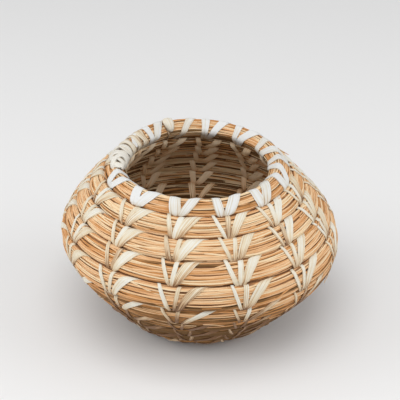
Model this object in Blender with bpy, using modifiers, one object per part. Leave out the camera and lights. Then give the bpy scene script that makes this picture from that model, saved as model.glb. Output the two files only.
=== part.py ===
"""A small coiled grass basket, built the way it is sewn.

One bundle of grass stems winds from the middle of the base to the rim, and thirteen columns of
split stitches bind each round of it to the round below. Every place is worked out in three
numbers: the turn, which is the angle gone round the basket; the arc, which is the length along
the wall's section from the middle of the base; and the height above the bundle's centre line.
"""

import bisect
import math

import bmesh
import bpy
import numpy as np
from mathutils import Vector
from mathutils.bvhtree import BVHTree

# The wall's section, through the middle of the bundle
STANDING_RADIUS = 0.0250
WIDEST_RADIUS = 0.0588
WIDEST_HEIGHT = 0.0384
RIM_RADIUS = 0.0368
RIM_HEIGHT = 0.0709
RIM_SLOPE = math.radians(49)
DOME_RADIUS = 0.0150
DOME_HEIGHT = 0.0015
HEEL_HANDLE = 0.0073
LOWER_HANDLE = 0.0058
UPPER_HANDLE = 0.0111
RIM_HANDLE = 0.0088

# The rounds lie a little higher on the left than on the right, as hand-sewn ones do
ROUND_TILT = math.radians(2.6)
TILT_FULL_HEIGHT = 0.0400

# The bundle, six-sided, swollen between two columns and drawn in at each: a pair of gaps is both
COIL_PITCH = 0.0094
SWOLLEN_GAP = 0.0006
WALL_GAPS = (SWOLLEN_GAP, 0.0011)
RIM_GAPS = (0.0009, 0.0019)
RIM_GAP_ROUNDS = 1.3
RIM_RISE = 0.0009
RIM_THINNING = 0.13
RIM_THIN_TURNS = (math.radians(-150), math.radians(-60))
START_KNOT_RADIUS = 0.0040
START_SHARE = 0.35
START_ROOM = 0.0018
BUNDLE_END_TURN = math.radians(278)
TAPER_LENGTH_TURN = math.radians(50)
END_SHARE = 0.38
END_LIFT = 0.0009
STANDING_CUT = 0.00098

# The stitches
COLUMN_COUNT = 13
FIRST_COLUMN_TURN = math.radians(-14.4)
COLUMN_DRIFT = math.radians(0.94)
STRAND_THICKNESS = 0.0005
CLEARANCE = 0.00045
STITCH_SPREAD = 0.0138
FULL_SPREAD_SPACING = 0.0180
FOOT_LEVEL = -0.93
FORK_LEVEL = -0.70
TOP_LEVEL = 0.93
LOWEST_STITCH_RISE = 0.0048
RIM_STITCH_GAP = 0.0010
RIM_CLEARANCE = 0.00054
FOOT_CLEARANCE = 0.00037

# Places across a stitch, as shares of its spread: to the left of the foot's middle is negative
FOOT_SHARES = (-0.138, 0.160, 0.283)
FORK_SHARES = (-0.138, -0.036, 0.109, 0.283)
LEFT_HALF_SHARES = ((-0.188, -0.087), (-0.246, -0.160))
RIGHT_HALF_WAIST_SHARES = (0.072, 0.210)
WIDE_ARM_SHARES = ((0.283, 0.558), (0.457, 0.754))
RIM_FOOT_SHARES = (-0.138, 0.051, 0.203)
RIM_ARM_SHARES = (((-0.188, 0.087), (0.174, 0.464)), ((-0.261, 0.029), (0.290, 0.609)))
RIM_INNER_SHARES = ((0.720, 0.960), (0.960, 1.080))

# The binding at the bundle's end, and the knot on the rim
LASHING_START_TURN = math.radians(250)
LASHING_END_TURN = math.radians(275)
LASHING_WRAPS = 6
LASHING_THICKNESS = 0.0006
LASHING_DIP = 0.00025
KNOT_COLUMN = 8
KNOT_SHARES = (-0.150, 0.025, 0.200)
KNOT_EDGE_SHARES = (0.45, 1.0, 0.45)
KNOT_HALF_ANGLE = math.radians(52)
KNOT_THICKNESS = 0.0015
KNOT_END_SHARE = 0.4
KNOT_SPANS = 6

# The start knot in the middle of the base
START_KNOT_HEIGHT = 0.0062
START_KNOT_SHOULDER = 0.0016
START_KNOT_STEPS = 16

# The basket's axis stands here, so that the middle of its outline lies over the origin
AXIS_X = 0.00102
AXIS_Y = -0.00009

SIDES = 6
SECTION_STEPS = 60
FULL_TURN = 2 * math.pi
FLAT_SHARE = math.cos(math.pi / SIDES)
CUTTER_MARGIN = 0.010

SWOLLEN_FLAT = (COIL_PITCH - SWOLLEN_GAP) / 2
SWOLLEN_RADIUS = SWOLLEN_FLAT / FLAT_SHARE
FLOOR_DROP = SWOLLEN_RADIUS - STANDING_CUT
COLUMN_STEP = (FULL_TURN - COLUMN_DRIFT) / COLUMN_COUNT

STRAW = (0.62, 0.38, 0.16, 1.0)
PALE_STRAND = (0.80, 0.72, 0.55, 1.0)
BINDING_STRAND = (0.83, 0.79, 0.68, 1.0)


def bezier(start, start_handle, end_handle, end):
    """Points of a cubic Bezier curve in the section plane."""
    t = np.linspace(0, 1, SECTION_STEPS)[:, None]
    corners = [np.array(p) for p in (start, start_handle, end_handle, end)]
    weights = ((1 - t) ** 3, 3 * (1 - t) ** 2 * t, 3 * (1 - t) * t**2, t**3)
    return sum(w * p for w, p in zip(weights, corners))


def wall_section():
    """Arc, radius, height and outward normal along the section, from the base's middle past the rim.

    The normal stands square to the line from the round below to the round above."""
    radius = np.linspace(0, STANDING_RADIUS, SECTION_STEPS)
    swell = 0.5 * (1 + np.cos(math.pi * np.minimum(radius / DOME_RADIUS, 1)))
    base = np.stack([radius, DOME_HEIGHT * swell], axis=1)
    down_slope = (math.cos(RIM_SLOPE), -math.sin(RIM_SLOPE))
    lower = bezier(
        (STANDING_RADIUS, 0),
        (STANDING_RADIUS + HEEL_HANDLE, 0),
        (WIDEST_RADIUS, WIDEST_HEIGHT - LOWER_HANDLE),
        (WIDEST_RADIUS, WIDEST_HEIGHT),
    )
    upper = bezier(
        (WIDEST_RADIUS, WIDEST_HEIGHT),
        (WIDEST_RADIUS, WIDEST_HEIGHT + UPPER_HANDLE),
        (RIM_RADIUS + RIM_HANDLE * down_slope[0], RIM_HEIGHT + RIM_HANDLE * down_slope[1]),
        (RIM_RADIUS, RIM_HEIGHT),
    )
    past = 2 * COIL_PITCH
    beyond = np.array([[RIM_RADIUS - past * down_slope[0], RIM_HEIGHT - past * down_slope[1]]])
    points = np.concatenate([base, lower[1:], upper[1:], beyond])
    steps = np.diff(points, axis=0)
    arc = np.concatenate([[0], np.cumsum(np.hypot(steps[:, 0], steps[:, 1]))])
    above, below = (
        np.stack([np.interp(arc + way, arc, column) for column in points.T], axis=1)
        for way in (COIL_PITCH, -COIL_PITCH)
    )
    along = above - below
    along /= np.hypot(along[:, 0], along[:, 1])[:, None]
    return arc, points[:, 0], points[:, 1], along[:, 1], -along[:, 0]


SECTION = wall_section()
RIM_ARC = SECTION[0][-2]
STANDING_ARC = SECTION[0][SECTION_STEPS - 1]


def section_at(arc):
    """Radius, height and outward normal of the section at an arc."""
    return tuple(float(np.interp(arc, SECTION[0], row)) for row in SECTION[1:])


def place(turn, arc, height, along=0):
    """The point at a turn, a height off the bundle's centre at an arc, and a way on up the wall."""
    radius, level, normal_out, normal_up = section_at(arc)
    out = radius + normal_out * height - normal_up * along
    up = level + normal_up * height + normal_out * along
    x = out * math.sin(turn)
    tilt = x * math.tan(ROUND_TILT) * min(max(level / TILT_FULL_HEIGHT, 0), 1)
    return Vector((AXIS_X + x, AXIS_Y - out * math.cos(turn), FLOOR_DROP + up - tilt))


def round_arc(turn):
    """The arc of the spiral at a turn, which is 0 at the front of the last round."""
    return RIM_ARC + RIM_RISE + COIL_PITCH * turn / FULL_TURN


def rim_share(turn):
    """The bundle's share of full thickness: the last round at the rim is a little thinner."""
    start, end = RIM_THIN_TURNS
    gone = min(max((turn - start) / (end - start), 0), 1)
    return 1 - RIM_THINNING * gone * gone * (3 - 2 * gone)


def rim_sink(turn):
    """How far the thinner round sinks: by its own loss and by the loss of the one below it."""
    lost = 1 - rim_share(turn) + 2 * (1 - rim_share(turn - FULL_TURN))
    return lost * COIL_PITCH / 2


# The spiral is followed back until it would be half a bundle from the start knot
FIRST_TURN = (START_KNOT_RADIUS - SWOLLEN_FLAT - RIM_ARC - RIM_RISE) / COIL_PITCH * FULL_TURN


def half_way(turn, arc, side):
    """Half the distance from a round's middle to the middle of the round above or below it."""
    beside = max(arc + side * COIL_PITCH, 0)
    return (place(turn, beside, 0) - place(turn, arc, 0)).length / 2


def round_radius(turn, arc, gap):
    """The six-sided bundle's radius that leaves the gap to the rounds on both sides.

    Where the wall turns between two rounds, the corners on the inside of the turn come close,
    so the bundle is smaller there."""
    here = section_at(arc)
    radii = []
    for side in (-1, 1):
        there = section_at(max(arc + side * COIL_PITCH, 0))
        dot = here[2] * there[2] + here[3] * there[3]
        half_angle = math.acos(min(max(dot, -1), 1)) / 2
        apart = half_way(turn, arc, side) / math.cos(half_angle)
        radii.append((apart - gap / 2) / (FLAT_SHARE + math.tan(half_angle) / 2))
    return min(radii)


def bundle_station(turn, gap):
    """(turn, arc, radius) of the bundle, which grows over its first round and thins at its end."""
    arc = round_arc(turn)
    gone = (turn - FIRST_TURN) / FULL_TURN
    left = (BUNDLE_END_TURN - turn) / TAPER_LENGTH_TURN
    if gone < 1:
        share = gone - (1 - gone) * START_ROOM / (2 * SWOLLEN_FLAT)
        inner_side = round_arc(FIRST_TURN + FULL_TURN) - SWOLLEN_FLAT
        return turn, inner_side + SWOLLEN_FLAT * share, SWOLLEN_RADIUS * share
    radius = round_radius(turn, arc, gap) * rim_share(turn)
    arc -= rim_sink(turn)
    if left < 1:
        ease = left * left * (3 - 2 * left)
        share = END_SHARE + (1 - END_SHARE) * ease
        sink = radius * FLAT_SHARE * (1 - share) - END_LIFT * (1 - ease)
        return turn, arc - sink, radius * share
    return turn, arc, radius


def bundle_stations():
    """Stations of the whole bundle: drawn in at each column, swollen halfway to the next.

    The base has no columns. Under the rim the stitches go through between two rounds, so there
    the bundle is drawn in further."""
    begin = FIRST_TURN + START_SHARE * FULL_TURN
    half = COLUMN_STEP / 2
    first = math.ceil((begin - FIRST_COLUMN_TURN) / half)
    last = math.floor((BUNDLE_END_TURN - FIRST_COLUMN_TURN) / half)
    stations = [bundle_station(begin, SWOLLEN_GAP)]
    for count in range(first + 1, last):
        turn = FIRST_COLUMN_TURN + count * half
        if round_arc(turn) < STANDING_ARC:
            gap = SWOLLEN_GAP
        elif round_arc(turn) < RIM_ARC - RIM_GAP_ROUNDS * COIL_PITCH:
            gap = WALL_GAPS[(count + 1) % 2]
        else:
            gap = RIM_GAPS[(count + 1) % 2]
        stations.append(bundle_station(turn, gap))
    stations.append(bundle_station(BUNDLE_END_TURN, SWOLLEN_GAP))
    return stations


STATIONS = bundle_stations()
STATION_TURNS, STATION_ARCS, STATION_RADII = (list(row) for row in zip(*STATIONS))


def bundle_at(turn):
    """Arc and radius of the bundle at any turn."""
    arc = float(np.interp(turn, STATION_TURNS, STATION_ARCS))
    return arc, float(np.interp(turn, STATION_TURNS, STATION_RADII))


def beside_bundle(turn, angle, clear):
    """A point clear of the bundle, on the straight way between the two stations it lies between."""
    after = min(max(bisect.bisect(STATION_TURNS, turn), 1), len(STATIONS) - 1)
    ends = []
    for _, arc, radius in STATIONS[after - 1 : after + 1]:
        reach = radius + clear / FLAT_SHARE
        here = STATION_TURNS[after - 1 + len(ends)]
        ends.append(place(here, arc, reach * math.cos(angle), reach * math.sin(angle)))
    before, beyond = STATION_TURNS[after - 1 : after + 1]
    return ends[0].lerp(ends[1], (turn - before) / (beyond - before))


def material(name, colour, roughness):
    """A plain Principled material."""
    made = bpy.data.materials.new(name)
    made.use_nodes = True
    shader = made.node_tree.nodes["Principled BSDF"]
    shader.inputs["Base Color"].default_value = colour
    shader.inputs["Roughness"].default_value = roughness
    shader.inputs["Metallic"].default_value = 0.0
    return made


def new_object(name, mesh, collection, colour, roughness):
    """A mesh object in a collection, with a material of its own."""
    part = bpy.data.objects.new(name, mesh)
    collection.objects.link(part)
    part.data.materials.append(material(name + "_finish", colour, roughness))
    return part


def end_run(stations):
    """The station a bundle's width beyond the last, straight on along the bundle."""
    (turn_a, arc_a, _), (turn_b, arc_b, radius) = stations
    before, last = place(turn_a, arc_a, 0), place(turn_b, arc_b, 0)
    return last + (last - before).normalized() * 2 * radius


def foundation_coil(collection, cutters):
    """The whole bundle as one tube on a poly line, cut flat where it stands."""
    curve = bpy.data.curves.new("foundation_coil", "CURVE")
    curve.dimensions = "3D"
    curve.twist_mode = "Z_UP"
    curve.bevel_depth = SWOLLEN_RADIUS
    curve.bevel_resolution = 1
    curve.use_fill_caps = True
    points = [place(turn, arc, 0) for turn, arc, _ in STATIONS]
    points = [end_run(STATIONS[1::-1])] + points + [end_run(STATIONS[-2:])]
    ends = [STATIONS[0]] + STATIONS + [STATIONS[-1]]
    spline = curve.splines.new("POLY")
    spline.points.add(len(points) - 1)
    for point, where, (_, arc, radius) in zip(spline.points, points, ends):
        _, _, normal_out, normal_up = section_at(arc)
        point.co = (*where, 1)
        point.tilt = -math.atan2(normal_up, normal_out)
        point.radius = radius / SWOLLEN_RADIUS
    guide = bpy.data.objects.new("bundle_guide", curve)
    collection.objects.link(guide)
    bpy.context.view_layer.update()
    graph = bpy.context.evaluated_depsgraph_get()
    mesh = bpy.data.meshes.new_from_object(guide.evaluated_get(graph))
    bpy.data.objects.remove(guide)
    print(f"foundation_coil: {(STATION_TURNS[-1] - STATION_TURNS[0]) / FULL_TURN:.2f} rounds")
    print(f"foundation_coil: least gap to itself {least_gap(mesh, len(points)) * 1000:.2f} mm")
    weld(mesh)
    coil = new_object("foundation_coil", mesh, collection, STRAW, 0.6)
    cutter = floor_cutter(cutters)
    cut = coil.modifiers.new("standing_flat", "BOOLEAN")
    cut.operation = "DIFFERENCE"
    cut.object = cutter
    return coil


def weld(mesh):
    """Joins a curve's loose caps to its sides."""
    sheet = bmesh.new()
    sheet.from_mesh(mesh)
    bmesh.ops.remove_doubles(sheet, verts=sheet.verts, dist=CLEARANCE / 100)
    bmesh.ops.recalc_face_normals(sheet, faces=sheet.faces)
    sheet.to_mesh(mesh)
    sheet.free()


def least_gap(mesh, ring_count):
    """The least distance from a corner of one round to a face of another round, caps left out."""
    corners = [v.co for v in mesh.vertices[: ring_count * SIDES]]
    sides = [list(p.vertices) for p in mesh.polygons if max(p.vertices) < len(corners)]
    face_ring = [min(side) // SIDES for side in sides]
    tree = BVHTree.FromPolygons(corners, sides)
    least = COIL_PITCH
    for index, corner in enumerate(corners):
        for _, _, face, distance in tree.find_nearest_range(corner, COIL_PITCH / 2):
            if abs(face_ring[face] - index // SIDES) > COLUMN_COUNT:
                least = min(least, distance)
    return least


def floor_cutter(cutters):
    """A wide flat block below the standing height."""
    bpy.ops.mesh.primitive_cube_add(size=1)
    cutter = bpy.context.active_object
    cutter.name = "floor_cutter"
    across = 2 * (STANDING_RADIUS + COIL_PITCH + CUTTER_MARGIN)
    cutter.scale = (across, across, CUTTER_MARGIN)
    cutter.location.z = -CUTTER_MARGIN / 2
    bpy.ops.object.transform_apply(location=True, rotation=False, scale=True)
    for home in list(cutter.users_collection):
        home.objects.unlink(cutter)
    cutters.objects.link(cutter)
    cutter.hide_render = True
    cutter.display_type = "WIRE"
    return cutter


def sheet_object(name, points, faces, thickness, collection, colour):
    """An open sheet of strands, thickened outwards into one closed solid."""
    mesh = bpy.data.meshes.new(name)
    mesh.from_pydata([tuple(p) for p in points], [], faces)
    part = new_object(name, mesh, collection, colour, 0.5)
    skin = part.modifiers.new("strand_thickness", "SOLIDIFY")
    skin.thickness = thickness
    skin.offset = 1
    return part


def column_turn(column, row):
    """The turn of a column on a row. Row 0 is the rim's round, row 1 the one below it."""
    return FIRST_COLUMN_TURN + column * COLUMN_STEP - row * (FULL_TURN - COLUMN_DRIFT)


def spread_at(arc):
    """How wide a stitch spreads, less where the columns come close together."""
    radius = section_at(arc)[0]
    return STITCH_SPREAD * min(1, radius * COLUMN_STEP / FULL_SPREAD_SPACING)


def wall_point(turn, share, level, short=0):
    """A point of a stitch on the outside of the round at a turn, clear of it by the clearance.

    The share places it across the stitch. The level is 0 at the middle of the round, whose
    faces fall away on both sides of its outermost corner, and 1 or -1 half way to the next."""
    arc = round_arc(turn)
    turn += share * spread_at(arc) / section_at(arc)[0]
    arc, radius = bundle_at(turn)
    along = level * half_way(turn, arc, math.copysign(1, level)) * rim_share(turn) - short
    fall = abs(along) / 2
    return place(turn, arc, radius + (CLEARANCE - fall) / FLAT_SHARE, along)


def stitch_column(column, collection):
    """One column of split stitches: each foot rises from the split in the stitch below it."""
    rows = []
    row = 1
    while round_arc(column_turn(column, row)) > STANDING_ARC + LOWEST_STITCH_RISE:
        rows.append(row)
        row += 1
    points, faces = [], []

    def add(turn, shares, level, short=0):
        first = len(points)
        points.extend(wall_point(turn, share, level, short) for share in shares)
        return list(range(first, len(points)))

    foot = add(column_turn(column, rows[-1]), FOOT_SHARES, FOOT_LEVEL)
    for row in reversed(rows):
        turn = column_turn(column, row)
        upper = turn - COLUMN_DRIFT
        middle = (turn + upper) / 2
        short = 0 if row > 1 else RIM_STITCH_GAP
        fork = add(turn, FORK_SHARES, FORK_LEVEL)
        left = add(middle, LEFT_HALF_SHARES[0], 0) + add(upper, LEFT_HALF_SHARES[1], TOP_LEVEL, short)
        waist = add(middle, RIGHT_HALF_WAIST_SHARES, 0)
        wide = add(middle, WIDE_ARM_SHARES[0], 0) + add(upper, WIDE_ARM_SHARES[1], TOP_LEVEL, short)
        if row > 1:
            above = add(column_turn(column, row - 1), FOOT_SHARES, FOOT_LEVEL)
        else:
            above = add(upper, FOOT_SHARES[1:], TOP_LEVEL, short)
        join = above[-2:]
        faces += [
            (foot[0], foot[1], fork[1], fork[0]),
            (foot[1], fork[2], fork[1]),
            (foot[1], foot[2], fork[3], fork[2]),
            (fork[0], fork[1], left[1], left[0]),
            (left[0], left[1], left[3], left[2]),
            (fork[1], fork[2], waist[1], waist[0]),
            (waist[0], waist[1], join[1], join[0]),
            (fork[2], fork[3], wide[1], wide[0]),
            (wide[0], wide[1], wide[3], wide[2]),
        ]
        foot = above
    name = f"stitch_column_{column_number(column):02d}"
    return sheet_object(name, points, faces, STRAND_THICKNESS, collection, PALE_STRAND)


def column_number(column):
    """Columns are numbered from 1, from the bundle's end round by the front."""
    return column - FIRST_COLUMN + 1


def around_point(middle_turn, share, corner):
    """A point of a strand that goes round the rim's bundle, at one of its six corners.

    Corner 0 is the outermost, and they go up and over the rim to the inside."""
    arc = round_arc(middle_turn)
    turn = middle_turn + share * spread_at(arc) / section_at(arc)[0]
    middle, radius = bundle_at(turn)
    reach = radius + RIM_CLEARANCE / FLAT_SHARE
    angle = FULL_TURN * corner / SIDES
    if math.cos(angle) < 0:
        return beside_bundle(turn, angle, RIM_CLEARANCE if corner < 4 else FOOT_CLEARANCE)
    return place(turn, middle, reach * math.cos(angle), reach * math.sin(angle))


def rim_stitch(column, onward, collection):
    """A stitch that nothing splits: two arms from one foot, over the rim's bundle.

    The left arm goes down the inside and back to its own foot. The right arm runs onward,
    down the inside to the next stitch's foot, where the strand comes through again."""
    turn = column_turn(column, 0)
    points, faces = [], []

    def add(shares, corner):
        first = len(points)
        points.extend(around_point(turn, share, corner) for share in shares)
        return list(range(first, len(points)))

    foot_in = add(RIM_FOOT_SHARES, 4)
    foot_out = add(RIM_FOOT_SHARES, 5)
    for side in (0, 1):
        faces.append((foot_in[side], foot_in[side + 1], foot_out[side + 1], foot_out[side]))
        waist, top = (shares[side] for shares in RIM_ARM_SHARES)
        ring = [add(waist, 0), add(top, 1), add(top, 2)]
        if side == 0:
            ring += [add(waist, 3), foot_in[:2]]
        elif onward:
            ring += [add(RIM_INNER_SHARES[0], 3), add(RIM_INNER_SHARES[1], 4)]
        rungs = [foot_out[side : side + 2], *ring]
        for lower, upper in zip(rungs, rungs[1:]):
            faces.append((lower[0], lower[1], upper[1], upper[0]))
    name = f"rim_stitch_{column_number(column):02d}"
    return sheet_object(name, points, faces, STRAND_THICKNESS, collection, BINDING_STRAND)


def tube_between(name, turns, thicknesses, collection, colour):
    """A six-sided sleeve round the bundle, clear of it, with a thickness at each turn."""
    mesh = bpy.data.meshes.new(name)
    sleeve = bmesh.new()
    angles = [FULL_TURN * corner / SIDES for corner in range(SIDES)]
    rings = []
    for turn, thickness in zip(turns, thicknesses):
        rings.append([
            [sleeve.verts.new(beside_bundle(turn, angle, clear)) for angle in angles]
            for clear in (CLEARANCE, CLEARANCE + thickness)
        ])
    for near, far in zip(rings, rings[1:]):
        for layer in (0, 1):
            for side in range(SIDES):
                after = (side + 1) % SIDES
                quad = (near[layer][side], far[layer][side], far[layer][after], near[layer][after])
                sleeve.faces.new(quad)
    for ring in (rings[0], rings[-1]):
        for side in range(SIDES):
            after = (side + 1) % SIDES
            sleeve.faces.new((ring[0][side], ring[0][after], ring[1][after], ring[1][side]))
    bmesh.ops.recalc_face_normals(sleeve, faces=sleeve.faces)
    sleeve.to_mesh(mesh)
    sleeve.free()
    return new_object(name, mesh, collection, colour, 0.5)


def rim_end_lashing(collection):
    """Close wraps over the thinned end of the bundle, one ridge for each wrap."""
    steps = 2 * LASHING_WRAPS
    turns = [
        LASHING_START_TURN + (LASHING_END_TURN - LASHING_START_TURN) * step / steps
        for step in range(steps + 1)
    ]
    ridges = [LASHING_THICKNESS - (0 if step % 2 else LASHING_DIP) for step in range(len(turns))]
    return tube_between("rim_end_lashing", turns, ridges, collection, BINDING_STRAND)


def rim_knot(collection):
    """A short fat loop of strand laid over the rim, across the left arm of one stitch."""
    turn = column_turn(KNOT_COLUMN, 0)
    spread = spread_at(round_arc(turn)) / section_at(round_arc(turn))[0]
    saddle = bmesh.new()
    rings = []
    for step in range(KNOT_SPANS + 1):
        way = 2 * step / KNOT_SPANS - 1
        angle = math.radians(90) + way * KNOT_HALF_ANGLE
        thickness = KNOT_THICKNESS * (1 - (1 - KNOT_END_SHARE) * way * way)
        feet, heads = [], []
        for share, edge in zip(KNOT_SHARES, KNOT_EDGE_SHARES):
            arc, radius = bundle_at(turn + share * spread)
            for height, row in ((0, feet), (thickness * edge, heads)):
                reach = radius + (RIM_CLEARANCE + CLEARANCE + STRAND_THICKNESS) / FLAT_SHARE + height
                out, up = reach * math.cos(angle), reach * math.sin(angle)
                row.append(saddle.verts.new(place(turn + share * spread, arc, out, up)))
        rings.append(feet + heads[::-1])
    for near, far in zip(rings, rings[1:]):
        for corner in range(len(near)):
            after = (corner + 1) % len(near)
            saddle.faces.new((near[corner], near[after], far[after], far[corner]))
    saddle.faces.new(rings[0])
    saddle.faces.new(rings[-1])
    bmesh.ops.recalc_face_normals(saddle, faces=saddle.faces)
    mesh = bpy.data.meshes.new("rim_knot")
    saddle.to_mesh(mesh)
    saddle.free()
    return new_object("rim_knot", mesh, collection, BINDING_STRAND, 0.5)


def start_knot(collection):
    """The wrapped knot in the middle of the base that the bundle winds round."""
    reach = START_KNOT_RADIUS + SWOLLEN_GAP - 2 * CLEARANCE
    half = START_KNOT_HEIGHT / 2
    middle = FLOOR_DROP + DOME_HEIGHT
    outline = [
        (0, middle + half),
        (reach - START_KNOT_SHOULDER, middle + half),
        (reach, middle + half - START_KNOT_SHOULDER),
        (reach, middle - half + START_KNOT_SHOULDER),
        (reach - START_KNOT_SHOULDER, middle - half),
        (0, middle - half),
    ]
    mesh = bpy.data.meshes.new("start_knot")
    edges = [(i, i + 1) for i in range(len(outline) - 1)]
    mesh.from_pydata([(x, 0, z) for x, z in outline], edges, [])
    knot = new_object("start_knot", mesh, collection, BINDING_STRAND, 0.5)
    knot.location = (AXIS_X, AXIS_Y, 0)
    turned = knot.modifiers.new("turned", "SCREW")
    turned.steps = START_KNOT_STEPS
    turned.render_steps = START_KNOT_STEPS
    turned.use_merge_vertices = True
    turned.merge_threshold = CLEARANCE / 100
    return knot


FIRST_COLUMN = math.ceil((BUNDLE_END_TURN - FULL_TURN - FIRST_COLUMN_TURN) / COLUMN_STEP)


def main():
    """Builds the basket's pieces into one collection and its cutter into another."""
    for old in list(bpy.data.objects):
        bpy.data.objects.remove(old)
    basket = bpy.data.collections.new("coiled_grass_basket")
    cutters = bpy.data.collections.new("cutters")
    for collection in (basket, cutters):
        bpy.context.scene.collection.children.link(collection)
    foundation_coil(basket, cutters)
    start_knot(basket)
    for column in range(FIRST_COLUMN, FIRST_COLUMN + COLUMN_COUNT):
        stitch_column(column, basket)
        onward = column_turn(column, 0) + 3 * COLUMN_STEP / 2 < LASHING_START_TURN
        if column_turn(column, 0) + COLUMN_STEP / 2 < LASHING_START_TURN:
            rim_stitch(column, onward, basket)
    rim_end_lashing(basket)
    rim_knot(basket)


main()
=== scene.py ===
"""A small coiled grass basket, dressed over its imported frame.

One bundle of grass stems winds from the middle of the base to the rim, and columns of pale split
strands bind each round to the round below. Every piece is worked out in the bundle's own numbers:
the turn gone round the basket, the arc up the wall's section, and the place round the bundle.
"""

from __future__ import annotations

import logging
import math
from dataclasses import dataclass, field
from enum import Enum

import bpy
import numpy as np
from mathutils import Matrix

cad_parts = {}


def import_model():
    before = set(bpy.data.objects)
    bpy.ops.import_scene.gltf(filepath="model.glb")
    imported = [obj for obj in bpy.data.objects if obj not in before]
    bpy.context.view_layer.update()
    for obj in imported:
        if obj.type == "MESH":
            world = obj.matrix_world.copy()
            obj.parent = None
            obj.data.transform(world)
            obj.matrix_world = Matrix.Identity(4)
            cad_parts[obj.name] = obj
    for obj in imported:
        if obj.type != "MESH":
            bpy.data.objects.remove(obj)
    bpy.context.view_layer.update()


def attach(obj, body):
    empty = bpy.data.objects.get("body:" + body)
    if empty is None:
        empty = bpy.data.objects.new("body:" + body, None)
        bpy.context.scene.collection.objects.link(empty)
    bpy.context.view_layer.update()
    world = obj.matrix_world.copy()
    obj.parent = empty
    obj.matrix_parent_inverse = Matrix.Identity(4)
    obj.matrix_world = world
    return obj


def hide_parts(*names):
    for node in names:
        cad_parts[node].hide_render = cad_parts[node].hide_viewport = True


LOG = logging.getLogger("basket")
FULL_TURN = 2 * math.pi
MM = 0.001
TINY = 1e-6
Colour = tuple[float, float, float]
Place = tuple[float, float, float]

# The six points of a band's ring, across it: left, middle and right on top, then back below.
BAND_ACROSS = (-1, 0, 1, 1, 0, -1)
BAND_TOP = 1
BAND_CREASES = (0, 2)
# Metres of texture among which each strand starts at random.
TEXTURE_RUN = 3
# Shares of its wavelength between which the length of a sine is drawn.
WAVE_STRETCH = (0.75, 1.3)
# The mean of a noise texture, and how many finer layers of noise it usually has.
NOISE_MEAN = 0.5
NOISE_DETAIL = 3.0
# The tone of a piece whose finish doesn't read it.
PLAIN_TONE = 0.5


def eased(share: np.ndarray) -> np.ndarray:
    """A share from 0 to 1 that starts and ends gently: 3 share^2 - 2 share^3."""
    return share * share * (3 - 2 * share)


def share_gone(value: np.ndarray, start: float, end: float) -> np.ndarray:
    """How far values are on the way from a start to an end, held between 0 and 1."""
    return np.clip((value - start) / (end - start), 0, 1)


def ring_angles(count: int) -> np.ndarray:
    """Evenly spaced angles of a full turn, the last one short of it."""
    return np.linspace(0, FULL_TURN, count, endpoint=False)


def new_object(name: str, data: bpy.types.ID) -> bpy.types.Object:
    """An object made of some data and put into the scene.

    Args:
        name: The object's name.
        data: Its mesh, lamp or camera.

    Returns:
        The object.
    """
    made = bpy.data.objects.new(name, data)
    bpy.context.scene.collection.objects.link(made)
    return made


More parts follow.
